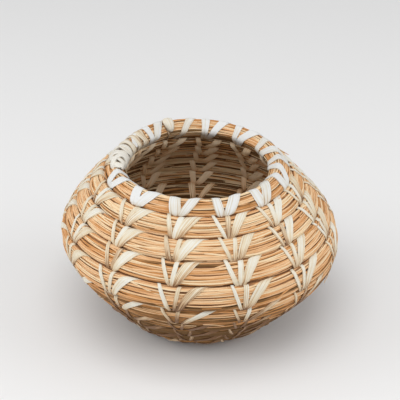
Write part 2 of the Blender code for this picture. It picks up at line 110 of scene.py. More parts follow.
@dataclass
class Wall:
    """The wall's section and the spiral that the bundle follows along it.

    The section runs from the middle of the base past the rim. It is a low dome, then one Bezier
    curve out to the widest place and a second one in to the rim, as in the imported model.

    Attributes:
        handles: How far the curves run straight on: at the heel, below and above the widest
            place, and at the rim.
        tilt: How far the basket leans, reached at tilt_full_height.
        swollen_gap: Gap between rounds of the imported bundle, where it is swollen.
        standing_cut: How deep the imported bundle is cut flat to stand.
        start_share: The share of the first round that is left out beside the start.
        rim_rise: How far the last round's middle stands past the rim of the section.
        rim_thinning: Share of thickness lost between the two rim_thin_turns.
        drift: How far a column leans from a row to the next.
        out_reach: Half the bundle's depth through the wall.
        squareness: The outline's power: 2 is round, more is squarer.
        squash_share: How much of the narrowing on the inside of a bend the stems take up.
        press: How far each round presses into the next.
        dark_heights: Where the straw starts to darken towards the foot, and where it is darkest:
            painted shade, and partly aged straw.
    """

    standing_radius: float = 0.0250
    widest_radius: float = 0.0588
    widest_height: float = 0.0384
    rim_radius: float = 0.0368
    rim_height: float = 0.0709
    rim_slope: float = math.radians(49)
    dome_radius: float = 0.0150
    dome_height: float = 0.0015
    handles: tuple[float, float, float, float] = (0.0073, 0.0058, 0.0111, 0.0088)
    tilt: float = math.radians(2.6)
    tilt_full_height: float = 0.0400
    pitch: float = 0.0094
    swollen_gap: float = 0.0006
    standing_cut: float = 0.00098
    axis: tuple[float, float] = (0.00102, -0.00009)
    start_radius: float = 0.0040
    start_share: float = 0.06
    start_room: float = 0.0003
    rim_rise: float = 0.0009
    rim_thinning: float = 0.13
    rim_thin_turns: tuple[float, float] = (math.radians(-150), math.radians(-60))
    end_turn: float = math.radians(284)
    taper_turn: float = math.radians(56)
    end_share: float = 0.14
    tail_shift: float = 0.0016
    columns: int = 13
    first_column: float = math.radians(-14.4)
    drift: float = math.radians(0.94)
    out_reach: float = 0.00450
    squareness: float = 4.4
    pinch_depth: float = 0.06
    pinch_width: float = 0.0042
    squash_share: float = 0.6
    press: float = 0.00012
    pinch_offset: float = 0.0012
    least_radius: float = 0.0040
    least_share: float = 0.05
    dark_heights: tuple[float, float] = (0.0470, 0.0190)
    # The share of the painted foot shade that the flat base keeps.
    flat_dark_share: float = 0.38
    section_steps: int = 60
    section: tuple[np.ndarray, ...] = field(init=False)

    def __post_init__(self) -> None:
        """Works out the section's table and the numbers that follow from the sizes.

        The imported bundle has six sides. A corner of it reaches flat / cos 30 degrees below its
        middle, less the cut that it stands on."""
        self.section = self._section_table()
        self.flat = (self.pitch - self.swollen_gap) / 2
        self.floor_drop = self.flat / math.cos(math.pi / 6) - self.standing_cut
        self.rim_arc = float(self.section[0][-2])
        self.column_step = (FULL_TURN - self.drift) / self.columns
        start_arc = self.start_radius - self.flat - self.rim_arc - self.rim_rise
        self.first_turn = start_arc / self.pitch * FULL_TURN
        self.begin = self.first_turn + self.start_share * FULL_TURN
        past_end = self.end_turn - FULL_TURN - self.first_column
        self.first_number = math.ceil(past_end / self.column_step)

    def _section_table(self) -> tuple[np.ndarray, ...]:
        """Arc, radius, height and outward normal of points along the section.

        A Bezier point is (1-t)^3 a + 3(1-t)^2 t b + 3(1-t) t^2 c + t^3 d. The normal stands
        square to the line from the round below to the round above.

        Returns:
            Five arrays, one value for each point of the section.
        """
        steps = self.section_steps
        t = np.linspace(0, 1, steps)[:, None]
        weights = ((1 - t) ** 3, 3 * (1 - t) ** 2 * t, 3 * (1 - t) * t**2, t**3)
        heel, lower, upper, rim = self.handles
        slope = (math.cos(self.rim_slope), -math.sin(self.rim_slope))
        r = np.linspace(0, self.standing_radius, steps)
        swell = 0.5 * (1 + np.cos(math.pi * np.minimum(r / self.dome_radius, 1)))
        base = np.stack([r, self.dome_height * swell], axis=1)
        widest = (self.widest_radius, self.widest_height)
        runs = (
            (
                (self.standing_radius, 0),
                (self.standing_radius + heel, 0),
                (widest[0], widest[1] - lower),
                widest,
            ),
            (
                widest,
                (widest[0], widest[1] + upper),
                (self.rim_radius + rim * slope[0], self.rim_height + rim * slope[1]),
                (self.rim_radius, self.rim_height),
            ),
        )
        curves = [sum(w * np.array(p) for w, p in zip(weights, run)) for run in runs]
        past = 2 * self.pitch
        beyond = (self.rim_radius - past * slope[0], self.rim_height - past * slope[1])
        points = np.concatenate([base, curves[0][1:], curves[1][1:], [beyond]])
        gone = np.hypot(*np.diff(points, axis=0).T)
        arc = np.concatenate([[0], np.cumsum(gone)])
        above, below = (
            np.stack([np.interp(arc + way, arc, column) for column in points.T], axis=1)
            for way in (self.pitch, -self.pitch)
        )
        along = above - below
        along /= np.hypot(along[:, 0], along[:, 1])[:, None]
        return arc, points[:, 0], points[:, 1], along[:, 1], -along[:, 0]

    def at(self, arc: np.ndarray) -> tuple[np.ndarray, ...]:
        """Radius, height and outward normal of the section at arcs."""
        return tuple(np.interp(arc, self.section[0], row) for row in self.section[1:])

    def place(
        self, turn: np.ndarray, arc: np.ndarray, height: np.ndarray, along: np.ndarray
    ) -> np.ndarray:
        """Points at turns and arcs, a height off the bundle's middle and a way on up the wall.

        The point stands at radius + normal * height + wall direction * along, turned about the
        axis, and is lowered by its x times the tilt's tangent times how far up the wall it is.

        Args:
            turn: Turns, 0 at the front of the last round.
            arc: Metres up the wall's section.
            height: Metres outwards from the bundle's middle.
            along: Metres on up the wall from it.

        Returns:
            An array of points, its last axis x, y, z.
        """
        radius, level, normal_out, normal_up = self.at(arc)
        out = radius + normal_out * height - normal_up * along
        up = level + normal_up * height + normal_out * along
        x = out * np.sin(turn)
        tilt = x * math.tan(self.tilt) * np.clip(level / self.tilt_full_height, 0, 1)
        y = self.axis[1] - out * np.cos(turn)
        points = np.broadcast_arrays(self.axis[0] + x, y, self.floor_drop + up - tilt)
        return np.stack(points, axis=-1)

    def round_arc(self, turn: np.ndarray) -> np.ndarray:
        """The arc of the spiral at a turn, which is 0 at the front of the last round."""
        return self.rim_arc + self.rim_rise + self.pitch * turn / FULL_TURN

    def round_radius(self, turn: np.ndarray) -> np.ndarray:
        """The wall's radius where the spiral is at a turn."""
        return self.at(self.round_arc(turn))[0]

    def rim_loss(self, turn: np.ndarray) -> np.ndarray:
        """The share of its thickness that the bundle loses for the last round, eased in."""
        return self.rim_thinning * eased(share_gone(turn, *self.rim_thin_turns))

    def taper_left(self, turn: np.ndarray) -> np.ndarray:
        """The share of the end's taper still ahead: 1 before it, 0 at the bundle's end."""
        return np.clip((self.end_turn - turn) / self.taper_turn, 0, 1)

    def half_pitch(self, turn: np.ndarray, arc: np.ndarray) -> np.ndarray:
        """Half the distance from a round's middle to its neighbours', a mean of both sides.

        Args:
            turn: Turns.
            arc: Metres up the section at those turns.

        Returns:
            Metres. It is half the pitch where there is no round below.
        """
        zero = np.zeros_like(arc)
        here = self.place(turn, arc, zero, zero)
        halves = [
            np.linalg.norm(
                self.place(turn, np.maximum(arc + way, 0), zero, zero) - here, axis=-1
            ) / 2
            for way in (self.pitch, -self.pitch)
        ]
        return np.where(arc < self.pitch, self.pitch / 2, (halves[0] + halves[1]) / 2)

    def bundle(self, turn: np.ndarray) -> tuple[np.ndarray, np.ndarray]:
        """Arc and share of full thickness of the bundle at turns.

        It grows over its first round beside the start, thins a little for the last round, and
        is eased thin over its end. It sinks as it thins, so that it always lies on the round
        below: by half of what it loses and by all that round loses.

        Args:
            turn: Turns, from first_turn to end_turn.

        Returns:
            Metres up the section, and shares.
        """
        arc = self.round_arc(turn)
        gone = (turn - self.first_turn) / FULL_TURN
        end = self.end_share + (1 - self.end_share) * eased(self.taper_left(turn))
        loss = self.rim_loss(turn)
        sink = (loss + 2 * self.rim_loss(turn - FULL_TURN)) * self.pitch / 2
        sink = sink + self.flat * (1 - end)
        start = gone - (1 - gone) * self.start_room / (2 * self.flat)
        inner = float(self.round_arc(self.first_turn + FULL_TURN)) - self.flat
        young = gone < 1
        arc = np.where(young, inner + self.flat * start, arc - sink)
        return arc, np.where(young, np.clip(start, self.least_share, 1), end * (1 - loss))

    def pinch(self, turn: np.ndarray) -> np.ndarray:
        """How far the stitches draw the bundle in: 1, less a bell shape at each column.

        The bell is depth * exp(-(metres away / width)^2).

        Args:
            turn: Turns.

        Returns:
            Shares of the full thickness.
        """
        rows = np.round((turn - self.first_column) / self.column_step)
        middle = self.first_column + rows * self.column_step
        radius = np.maximum(self.round_radius(turn), self.least_radius)
        away = (turn - middle) * radius - self.pinch_offset
        return 1 - self.pinch_depth * np.exp(-((away / self.pinch_width) ** 2))

    def tail_out(self, turn: np.ndarray) -> np.ndarray:
        """How far outwards the bundle's end has slid off the line of the wall."""
        return self.tail_shift * eased(1 - self.taper_left(turn))

    def half_sizes(self, turn: np.ndarray) -> tuple[np.ndarray, np.ndarray]:
        """Half the bundle's depth through the wall and half its height along it, at turns.

        The height is a little over half the distance between rounds, so that they press
        together and no light comes through.

        Args:
            turn: Turns.

        Returns:
            Metres of half the depth, and of half the height.
        """
        arc, share = self.bundle(turn)
        drawn = share * self.pinch(turn)
        return self.out_reach * drawn, (self.half_pitch(turn, arc) + self.press) * drawn

    def outline(self, angle: np.ndarray) -> tuple[np.ndarray, np.ndarray]:
        """The bundle's outline on a square of half side 1.

        It is a superellipse: (cos, sin) over the n-th root of |cos|^n + |sin|^n.

        Args:
            angle: Angles round the bundle: 0 outwards, a quarter turn on top.

        Returns:
            Places outwards and up, from -1 to 1.
        """
        cos, sin = np.cos(angle), np.sin(angle)
        n = self.squareness
        size = (np.abs(cos) ** n + np.abs(sin) ** n) ** (1 / n)
        return cos / size, sin / size

    def low(self, height: np.ndarray, arc: np.ndarray) -> np.ndarray:
        """How far the straw darkens towards the foot, as painted shade and partly aged straw: 0
        above it, up to 1 below.

        It is eased in with the height. Where the wall lies flat, on the base, it is only a share
        of that, which grows to all of it with the sine of the wall's slope.

        Args:
            height: Metres above the floor.
            arc: Metres up the section.

        Returns:
            Shares.
        """
        steep = self.flat_dark_share + (1 - self.flat_dark_share) * self.at(arc)[2]
        return eased(share_gone(height, *self.dark_heights)) * steep

    def bend(self, arc: np.ndarray) -> np.ndarray:
        """How much the section bends at arcs: outwards is positive.

        It is the turn of the normal from half a pitch below to half a pitch above, over the
        pitch.

        Args:
            arc: Metres up the section.

        Returns:
            Radians a metre, and 0 in the middle of the base.
        """
        low, high = (self.at(np.maximum(arc + way, 0)) for way in (-self.pitch / 2, self.pitch / 2))
        turned = np.arctan2(high[3], high[2]) - np.arctan2(low[3], low[2])
        return np.where(arc < self.pitch, 0, turned / self.pitch)

    def spread(self, arc: np.ndarray, height: np.ndarray) -> np.ndarray:
        """How much wider the bundle is at a height: 1 + bend * height, or a share of it inside."""
        change = self.bend(arc) * height
        return 1 + np.where(change < 0, self.squash_share * change, change)

    def on_outline(
        self, turn: np.ndarray, out: np.ndarray, up: np.ndarray
    ) -> tuple[np.ndarray, np.ndarray]:
        """Height and way along of places on the outline's square.

        Where the wall bends outwards the bundle spreads on its outer face and narrows on its
        inner one, as the wall itself does there.

        Args:
            turn: Turns.
            out: Places outwards on the square, from -1 to 1.
            up: Places up on it.

        Returns:
            Metres outwards from the bundle's middle, and metres on up the wall.
        """
        arc, _ = self.bundle(turn)
        half_out, half_up = self.half_sizes(turn)
        height = out * half_out
        return height, up * half_up * self.spread(arc, height)

    def on_bundle(
        self, turn: np.ndarray, out: np.ndarray, up: np.ndarray, lift: np.ndarray
    ) -> np.ndarray:
        """Points on the bundle, from a place on its outline's square and a lift off it.

        Args:
            turn: Turns.
            out: Places outwards on the square, from -1 to 1.
            up: Places up on it.
            lift: Metres straight away from the bundle's middle.

        Returns:
            An array of points, its last axis x, y, z.
        """
        arc, _ = self.bundle(turn)
        height, along = self.on_outline(turn, out, up)
        grown = 1 + lift / np.maximum(np.hypot(height, along), TINY)
        return self.place(turn, arc, height * grown + self.tail_out(turn), along * grown)

    def column_turn(self, column: int, row: int) -> float:
        """The turn of a column on a row. Row 0 is the rim's round, row 1 the one below it."""
        return self.first_column + column * self.column_step - row * (FULL_TURN - self.drift)


@dataclass(frozen=True)
class RingMesh:
    """Closed rings of points carried along paths, as one mesh.

    Attributes:
        points: Array of paths, stations, ring and x, y, z.
        tone: Array of paths, stations and ring: 0 dark, 1 pale.
        length: Array of paths and stations: metres gone along each path.
        creases: Numbers in the ring whose lengthwise edges are sharp.
    """

    points: np.ndarray
    tone: np.ndarray
    length: np.ndarray
    creases: tuple[int, ...] = ()

    def quads(self) -> np.ndarray:
        """Corner numbers of the side faces: each ring's points to the next ring's.

        Returns:
            Array of faces and their four corners.
        """
        paths, stations, ring = self.points.shape[:3]
        p, s, k = np.meshgrid(
            np.arange(paths), np.arange(stations - 1), np.arange(ring), indexing="ij"
        )
        here = (p * stations + s) * ring
        after = (k + 1) % ring
        corners = (here + k, here + after, here + ring + after, here + ring + k)
        return np.stack(corners, axis=-1).reshape(-1, 4)

    def caps(self) -> np.ndarray:
        """Corner numbers of the faces that close each path at both ends.

        Returns:
            Array of faces and their corners, one for each point of a ring.
        """
        paths, stations, ring = self.points.shape[:3]
        first = np.arange(paths)[:, None] * stations * ring
        k = np.arange(ring)[None]
        return np.concatenate([first + k[:, ::-1], first + (stations - 1) * ring + k])

    def side_uvs(self) -> np.ndarray:
        """Place on the texture of each side face's corners: share of the ring, and length.

        Returns:
            Array of corners, in the order of the side faces, and across, along.
        """
        paths, stations, ring = self.points.shape[:3]
        shape = (paths, stations - 1, ring)
        k = np.broadcast_to(np.arange(ring), shape) / ring
        near = np.broadcast_to(self.length[:, :-1, None], shape)
        far = np.broadcast_to(self.length[:, 1:, None], shape)
        across = np.stack([k, k + 1 / ring, k + 1 / ring, k], axis=-1)
        along = np.stack([near, near, far, far], axis=-1)
        return np.stack([across, along], axis=-1).reshape(-1, 2)

    def crease(self, mesh: bpy.types.Mesh) -> None:
        """Marks the sharp lengthwise edges: both ends have the same number in their ring.

        Args:
            mesh: The mesh made from these rings.
        """
        ring = self.points.shape[2]
        ends = np.empty(len(mesh.edges) * 2, dtype=np.int32)
        mesh.edges.foreach_get("vertices", ends)
        near, far = ends.reshape(-1, 2).T % ring
        sharp = (near == far) & np.isin(near, self.creases)
        marks = mesh.attributes.new("sharp_edge", "BOOLEAN", "EDGE")
        marks.data.foreach_set("value", sharp)

    def build(self, name: str) -> bpy.types.Object:
        """Makes the mesh object, with faces outwards, a texture map and a tone at each point.

        The sign of the summed corner volumes says whether the rings run the right way round.

        Args:
            name: The piece's name.

        Returns:
            The object, in the scene.
        """
        flat = self.points.reshape(-1, 3)
        quads, caps = self.quads(), self.caps()
        a, b, c, d = (flat[corner] for corner in quads.T)
        volume = np.einsum("ij,ij->", a, np.cross(b, c) + np.cross(c, d))
        uvs = self.side_uvs().reshape(-1, 4, 2)
        if volume < 0:
            quads, caps, uvs = quads[:, ::-1], caps[:, ::-1], uvs[:, ::-1]
        mesh = bpy.data.meshes.new(name)
        mesh.from_pydata(flat.tolist(), [], quads.tolist() + caps.tolist())
        texture_map = mesh.uv_layers.new(name="run")
        cap_uvs = np.zeros((caps.size, 2))
        texture_map.data.foreach_set("uv", np.concatenate([uvs.reshape(-1, 2), cap_uvs]).ravel())
        tone = mesh.attributes.new("tone", "FLOAT", "POINT")
        tone.data.foreach_set("value", self.tone.astype(np.float32).ravel())
        mesh.polygons.foreach_set("use_smooth", np.ones(len(mesh.polygons), dtype=bool))
        self.crease(mesh)
        mesh.update()
        return new_object(name, mesh)


def joined(parts: list[RingMesh]) -> RingMesh:
    """Several ring meshes as one.

    Args:
        parts: Ring meshes with the same stations, ring and creases.

    Returns:
        A ring mesh with all their paths.
    """
    return RingMesh(
        np.concatenate([part.points for part in parts]),
        np.concatenate([part.tone for part in parts]),
        np.concatenate([part.length for part in parts]),
        parts[0].creases,
    )


def path_length(points: np.ndarray) -> np.ndarray:
    """Metres gone along each path, from its first point: the running sum of its steps."""
    steps = np.linalg.norm(np.diff(points, axis=1), axis=-1)
    return np.concatenate([np.zeros((len(points), 1)), np.cumsum(steps, axis=1)], axis=1)


def band(points: np.ndarray, tone: np.ndarray, rng: np.random.Generator) -> RingMesh:
    """A flat band with creased edges, whose texture starts at a random place.

    Args:
        points: Array of paths, stations, the six points across and x, y, z.
        tone: Array of paths, stations and ring.
        rng: The random source, seeded.

    Returns:
        The band as a ring mesh.
    """
    length = path_length(points[:, :, BAND_TOP]) + rng.random() * TEXTURE_RUN
    return RingMesh(points, tone, length, BAND_CREASES)


def smooth_noise(
    rng: np.random.Generator, count: int, way: np.ndarray, wavelengths: tuple[float, ...]
) -> np.ndarray:
    """Slow random curves, one for each path: a sum of sines with random starts.

    Args:
        rng: The random source, seeded.
        count: How many curves.
        way: Metres along, one value for each station.
        wavelengths: Metres for a full wave of each sine.

    Returns:
        Array of curves and stations, mostly between -1 and 1.
    """
    total = np.zeros((count, len(way)))
    for wavelength in wavelengths:
        length = wavelength * rng.uniform(*WAVE_STRETCH, (count, 1))
        total += np.sin(FULL_TURN * (way[None] / length + rng.random((count, 1))))
    return total / math.sqrt(len(wavelengths))


class Nodes:
    """A material's node tree, with short ways to add to it."""

    def __init__(self, name: str, roughness: float, gloss: float = 0.35) -> None:
        """Starts a Principled material.

        Args:
            name: The material's name.
            roughness: How dull it is.
            gloss: Its specular level.
        """
        self.material = bpy.data.materials.new(name)
        self.material.use_nodes = True
        self.tree = self.material.node_tree
        self.shader = self.tree.nodes["Principled BSDF"]
        self.shader.inputs["Roughness"].default_value = roughness
        self.shader.inputs["Specular IOR Level"].default_value = gloss

    def add(self, kind: str, **settings: object) -> bpy.types.Node:
        """A new node.

        Args:
            kind: Its type, as Blender names it.
            **settings: Values of its own settings.

        Returns:
            The node.
        """
        node = self.tree.nodes.new(kind)
        for key, value in settings.items():
            setattr(node, key, value)
        return node

    def link(self, source: bpy.types.NodeSocket, target: bpy.types.NodeSocket) -> None:
        """Joins two sockets."""
        self.tree.links.new(source, target)

    def combine(self, operation: str, a: object, b: object) -> bpy.types.NodeSocket:
        """A Math node on two values.

        Args:
            operation: What it does, as Blender names it.
            a: A socket or a number.
            b: A socket or a number.

        Returns:
            The result's socket.
        """
        node = self.add("ShaderNodeMath", operation=operation)
        for socket, value in zip(node.inputs, (a, b)):
            if isinstance(value, bpy.types.NodeSocket):
                self.link(value, socket)
            else:
                socket.default_value = value
        return node.outputs[0]

    def streaks(
        self, scale: tuple[float, float], detail: float = NOISE_DETAIL
    ) -> bpy.types.NodeSocket:
        """Noise on the piece's own texture map, stretched.

        Args:
            scale: Its scale across and along.
            detail: How many finer layers of noise it has.

        Returns:
            The noise.
        """
        coordinates = self.add("ShaderNodeUVMap", uv_map="run")
        mapping = self.add("ShaderNodeMapping")
        mapping.inputs["Scale"].default_value = (scale[0], scale[1], 1)
        noise = self.add("ShaderNodeTexNoise")
        noise.inputs["Scale"].default_value = 1.0
        noise.inputs["Detail"].default_value = detail
        self.link(coordinates.outputs["UV"], mapping.inputs["Vector"])
        self.link(mapping.outputs["Vector"], noise.inputs["Vector"])
        return noise.outputs["Fac"]

    def patches(self, scale: float) -> bpy.types.NodeSocket:
        """Noise in the object's own space.

        Args:
            scale: Its scale.

        Returns:
            The noise.
        """
        coordinates = self.add("ShaderNodeTexCoord")
        noise = self.add("ShaderNodeTexNoise")
        noise.inputs["Scale"].default_value = scale
        noise.inputs["Detail"].default_value = NOISE_DETAIL
        self.link(coordinates.outputs["Object"], noise.inputs["Vector"])
        return noise.outputs["Fac"]

    def both_ways(self, noise: bpy.types.NodeSocket, amount: float) -> bpy.types.NodeSocket:
        """A noise that goes both ways from nothing: (noise - its mean) * amount."""
        return self.combine("MULTIPLY", self.combine("SUBTRACT", noise, NOISE_MEAN), amount)

    def varied_tone(
        self, fibres: bpy.types.NodeSocket, amount: float, patch_scale: float, patch_amount: float
    ) -> bpy.types.NodeSocket:
        """The mesh's tone, varied by lengthwise fibres and by patches.

        It is tone + (fibres - mean) * amount + (patches - mean) * patch amount.

        Args:
            fibres: The lengthwise noise.
            amount: How much the fibres change the tone.
            patch_scale: The scale of the patches.
            patch_amount: How much the patches change the tone.

        Returns:
            The tone.
        """
        lines = self.both_ways(fibres, amount)
        patches = self.both_ways(self.patches(patch_scale), patch_amount)
        return self.combine("ADD", self.tone(), self.combine("ADD", lines, patches))

    def colours(
        self, factor: bpy.types.NodeSocket, places: tuple[float, ...], colours: tuple[Colour, ...]
    ) -> None:
        """Sets the base colour from a factor through a ramp.

        Args:
            factor: The socket that the ramp reads.
            places: Where on the ramp each colour stands.
            colours: The colours.
        """
        ramp = self.add("ShaderNodeValToRGB")
        elements = ramp.color_ramp.elements
        # A new stop is put anywhere between the ends, because its place is set right after.
        while len(elements) < len(places):
            elements.new(0.5)
        for element, where, colour in zip(elements, places, colours):
            element.position = where
            element.color = (*colour, 1)
        self.link(factor, ramp.inputs["Fac"])
        self.link(ramp.outputs["Color"], self.shader.inputs["Base Color"])

    def bump(self, height: bpy.types.NodeSocket, strength: float, distance: float) -> None:
        """Raises the surface by a height.

        Args:
            height: The socket of the height.
            strength: The share of it that shows.
            distance: Metres that a height of 1 raises it.
        """
        bump = self.add("ShaderNodeBump")
        bump.inputs["Strength"].default_value = strength
        bump.inputs["Distance"].default_value = distance
        self.link(height, bump.inputs["Height"])
        self.link(bump.outputs["Normal"], self.shader.inputs["Normal"])

    def tone(self) -> bpy.types.NodeSocket:
        """The tone that the mesh carries at each point."""
        return self.add("ShaderNodeAttribute", attribute_name="tone").outputs["Fac"]


@dataclass(frozen=True)
class StemFinish:
    """Dried golden grass stems: each has its own tone, with fine lengthwise streaks."""

    name: str = "dried_grass_stems"
    roughness: float = 0.60
    gloss: float = 0.20
    brown: Colour = (0.165, 0.084, 0.028)
    russet: Colour = (0.60, 0.28, 0.095)
    gold: Colour = (0.765, 0.48, 0.257)
    pale: Colour = (0.82, 0.64, 0.41)
    places: tuple[float, ...] = (0.0, 0.32, 0.62, 0.95)
    streak_scale: tuple[float, float] = (4, 45)
    streak_amount: float = 0.55
    patch_scale: float = 130
    patch_amount: float = 0.35
    bump_strength: float = 0.35
    bump_distance: float = 0.0002

    def make(self) -> bpy.types.Material:
        """Builds the material.

        Returns:
            The material.
        """
        nodes = Nodes(self.name, self.roughness, self.gloss)
        streaks = nodes.streaks(self.streak_scale)
        tone = nodes.varied_tone(
            streaks, self.streak_amount, self.patch_scale, self.patch_amount
        )
        nodes.colours(tone, self.places, (self.brown, self.russet, self.gold, self.pale))
        nodes.bump(streaks, self.bump_strength, self.bump_distance)
        return nodes.material


@dataclass(frozen=True)
class StrandFinish:
    """Pale split leaf: cream with lengthwise fibres, tan where it comes out of its hole and brown in
    the painted shadow of the hole.

    Its tone is lifted a little, so that a tone just below nothing still has a colour."""

    name: str
    tan: Colour
    cream: Colour
    white: Colour
    # The dark end of the ramp, which the painted shadow of the hole and the painted shade reach.
    brown: Colour = (0.20, 0.10, 0.045)
    roughness: float = 0.5
    gloss: float = 0.30
    places: tuple[float, ...] = (0.0, 0.22, 0.5, 0.9)
    tone_lift: float = 0.1
    fibre_scale: tuple[float, float] = (26, 40)
    fibre_detail: float = 4.0
    fibre_amount: float = 2.0
    patch_scale: float = 220
    patch_amount: float = 0.4
    bump_strength: float = 0.5
    bump_distance: float = 0.00025

    def make(self) -> bpy.types.Material:
        """Builds the material.

        Returns:
            The material.
        """
        nodes = Nodes(self.name, self.roughness, self.gloss)
        fibres = nodes.streaks(self.fibre_scale, self.fibre_detail)
        tone = nodes.varied_tone(fibres, self.fibre_amount, self.patch_scale, self.patch_amount)
        lifted = nodes.combine("ADD", tone, self.tone_lift)
        nodes.colours(lifted, self.places, (self.brown, self.tan, self.cream, self.white))
        nodes.bump(fibres, self.bump_strength, self.bump_distance)
        return nodes.material


@dataclass(frozen=True)
class CoreFinish:
    """The middle of the bundle, seen between stems, in dark brown as painted shade."""

    name: str = "bundle_shadow_fill"
    deep: Colour = (0.20, 0.092, 0.038)
    warm: Colour = (0.44, 0.225, 0.100)
    roughness: float = 0.8
    places: tuple[float, ...] = (0.3, 0.75)
    streak_scale: tuple[float, float] = (40, 30)
    bump_strength: float = 0.6
    bump_distance: float = 0.0004

    def make(self) -> bpy.types.Material:
        """Builds the material.

        Returns:
            The material.
        """
        nodes = Nodes(self.name, self.roughness)
        streaks = nodes.streaks(self.streak_scale)
        nodes.colours(streaks, self.places, (self.deep, self.warm))
        nodes.bump(streaks, self.bump_strength, self.bump_distance)
        return nodes.material


WALL_STRAND = StrandFinish(
    "pale_split_strand", (0.52, 0.33, 0.18), (0.70, 0.59, 0.41), (0.75, 0.73, 0.65)
)
# The strands inside: a warmer tan than the wall strands, and painted paler than them as painted
# light in the shaded inside.
INNER_STRAND = StrandFinish(
    "inner_strand_painted_light", (0.60, 0.34, 0.16), (0.95, 0.69, 0.43), (0.98, 0.82, 0.60)
)
RIM_STRAND = StrandFinish(
    "white_rim_strand", (0.50, 0.36, 0.23), (0.66, 0.62, 0.53), (0.72, 0.725, 0.715)
)
LASHING_STRAND = StrandFinish(
    "cream_lashing_strand", (0.50, 0.34, 0.20), (0.70, 0.61, 0.45), (0.74, 0.71, 0.64)
)


def dress(piece: bpy.types.Object, finish: bpy.types.Material, *nodes: str) -> None:
    """Gives a piece its finish, sets it riding and hides the CAD nodes that it stands for.

    Args:
        piece: The piece.
        finish: Its material.
        *nodes: The CAD nodes that it replaces.
    """
    piece.data.materials.append(finish)
    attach(piece, "root")
    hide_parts(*nodes)
    LOG.info("%s: %d faces", piece.name, len(piece.data.polygons))


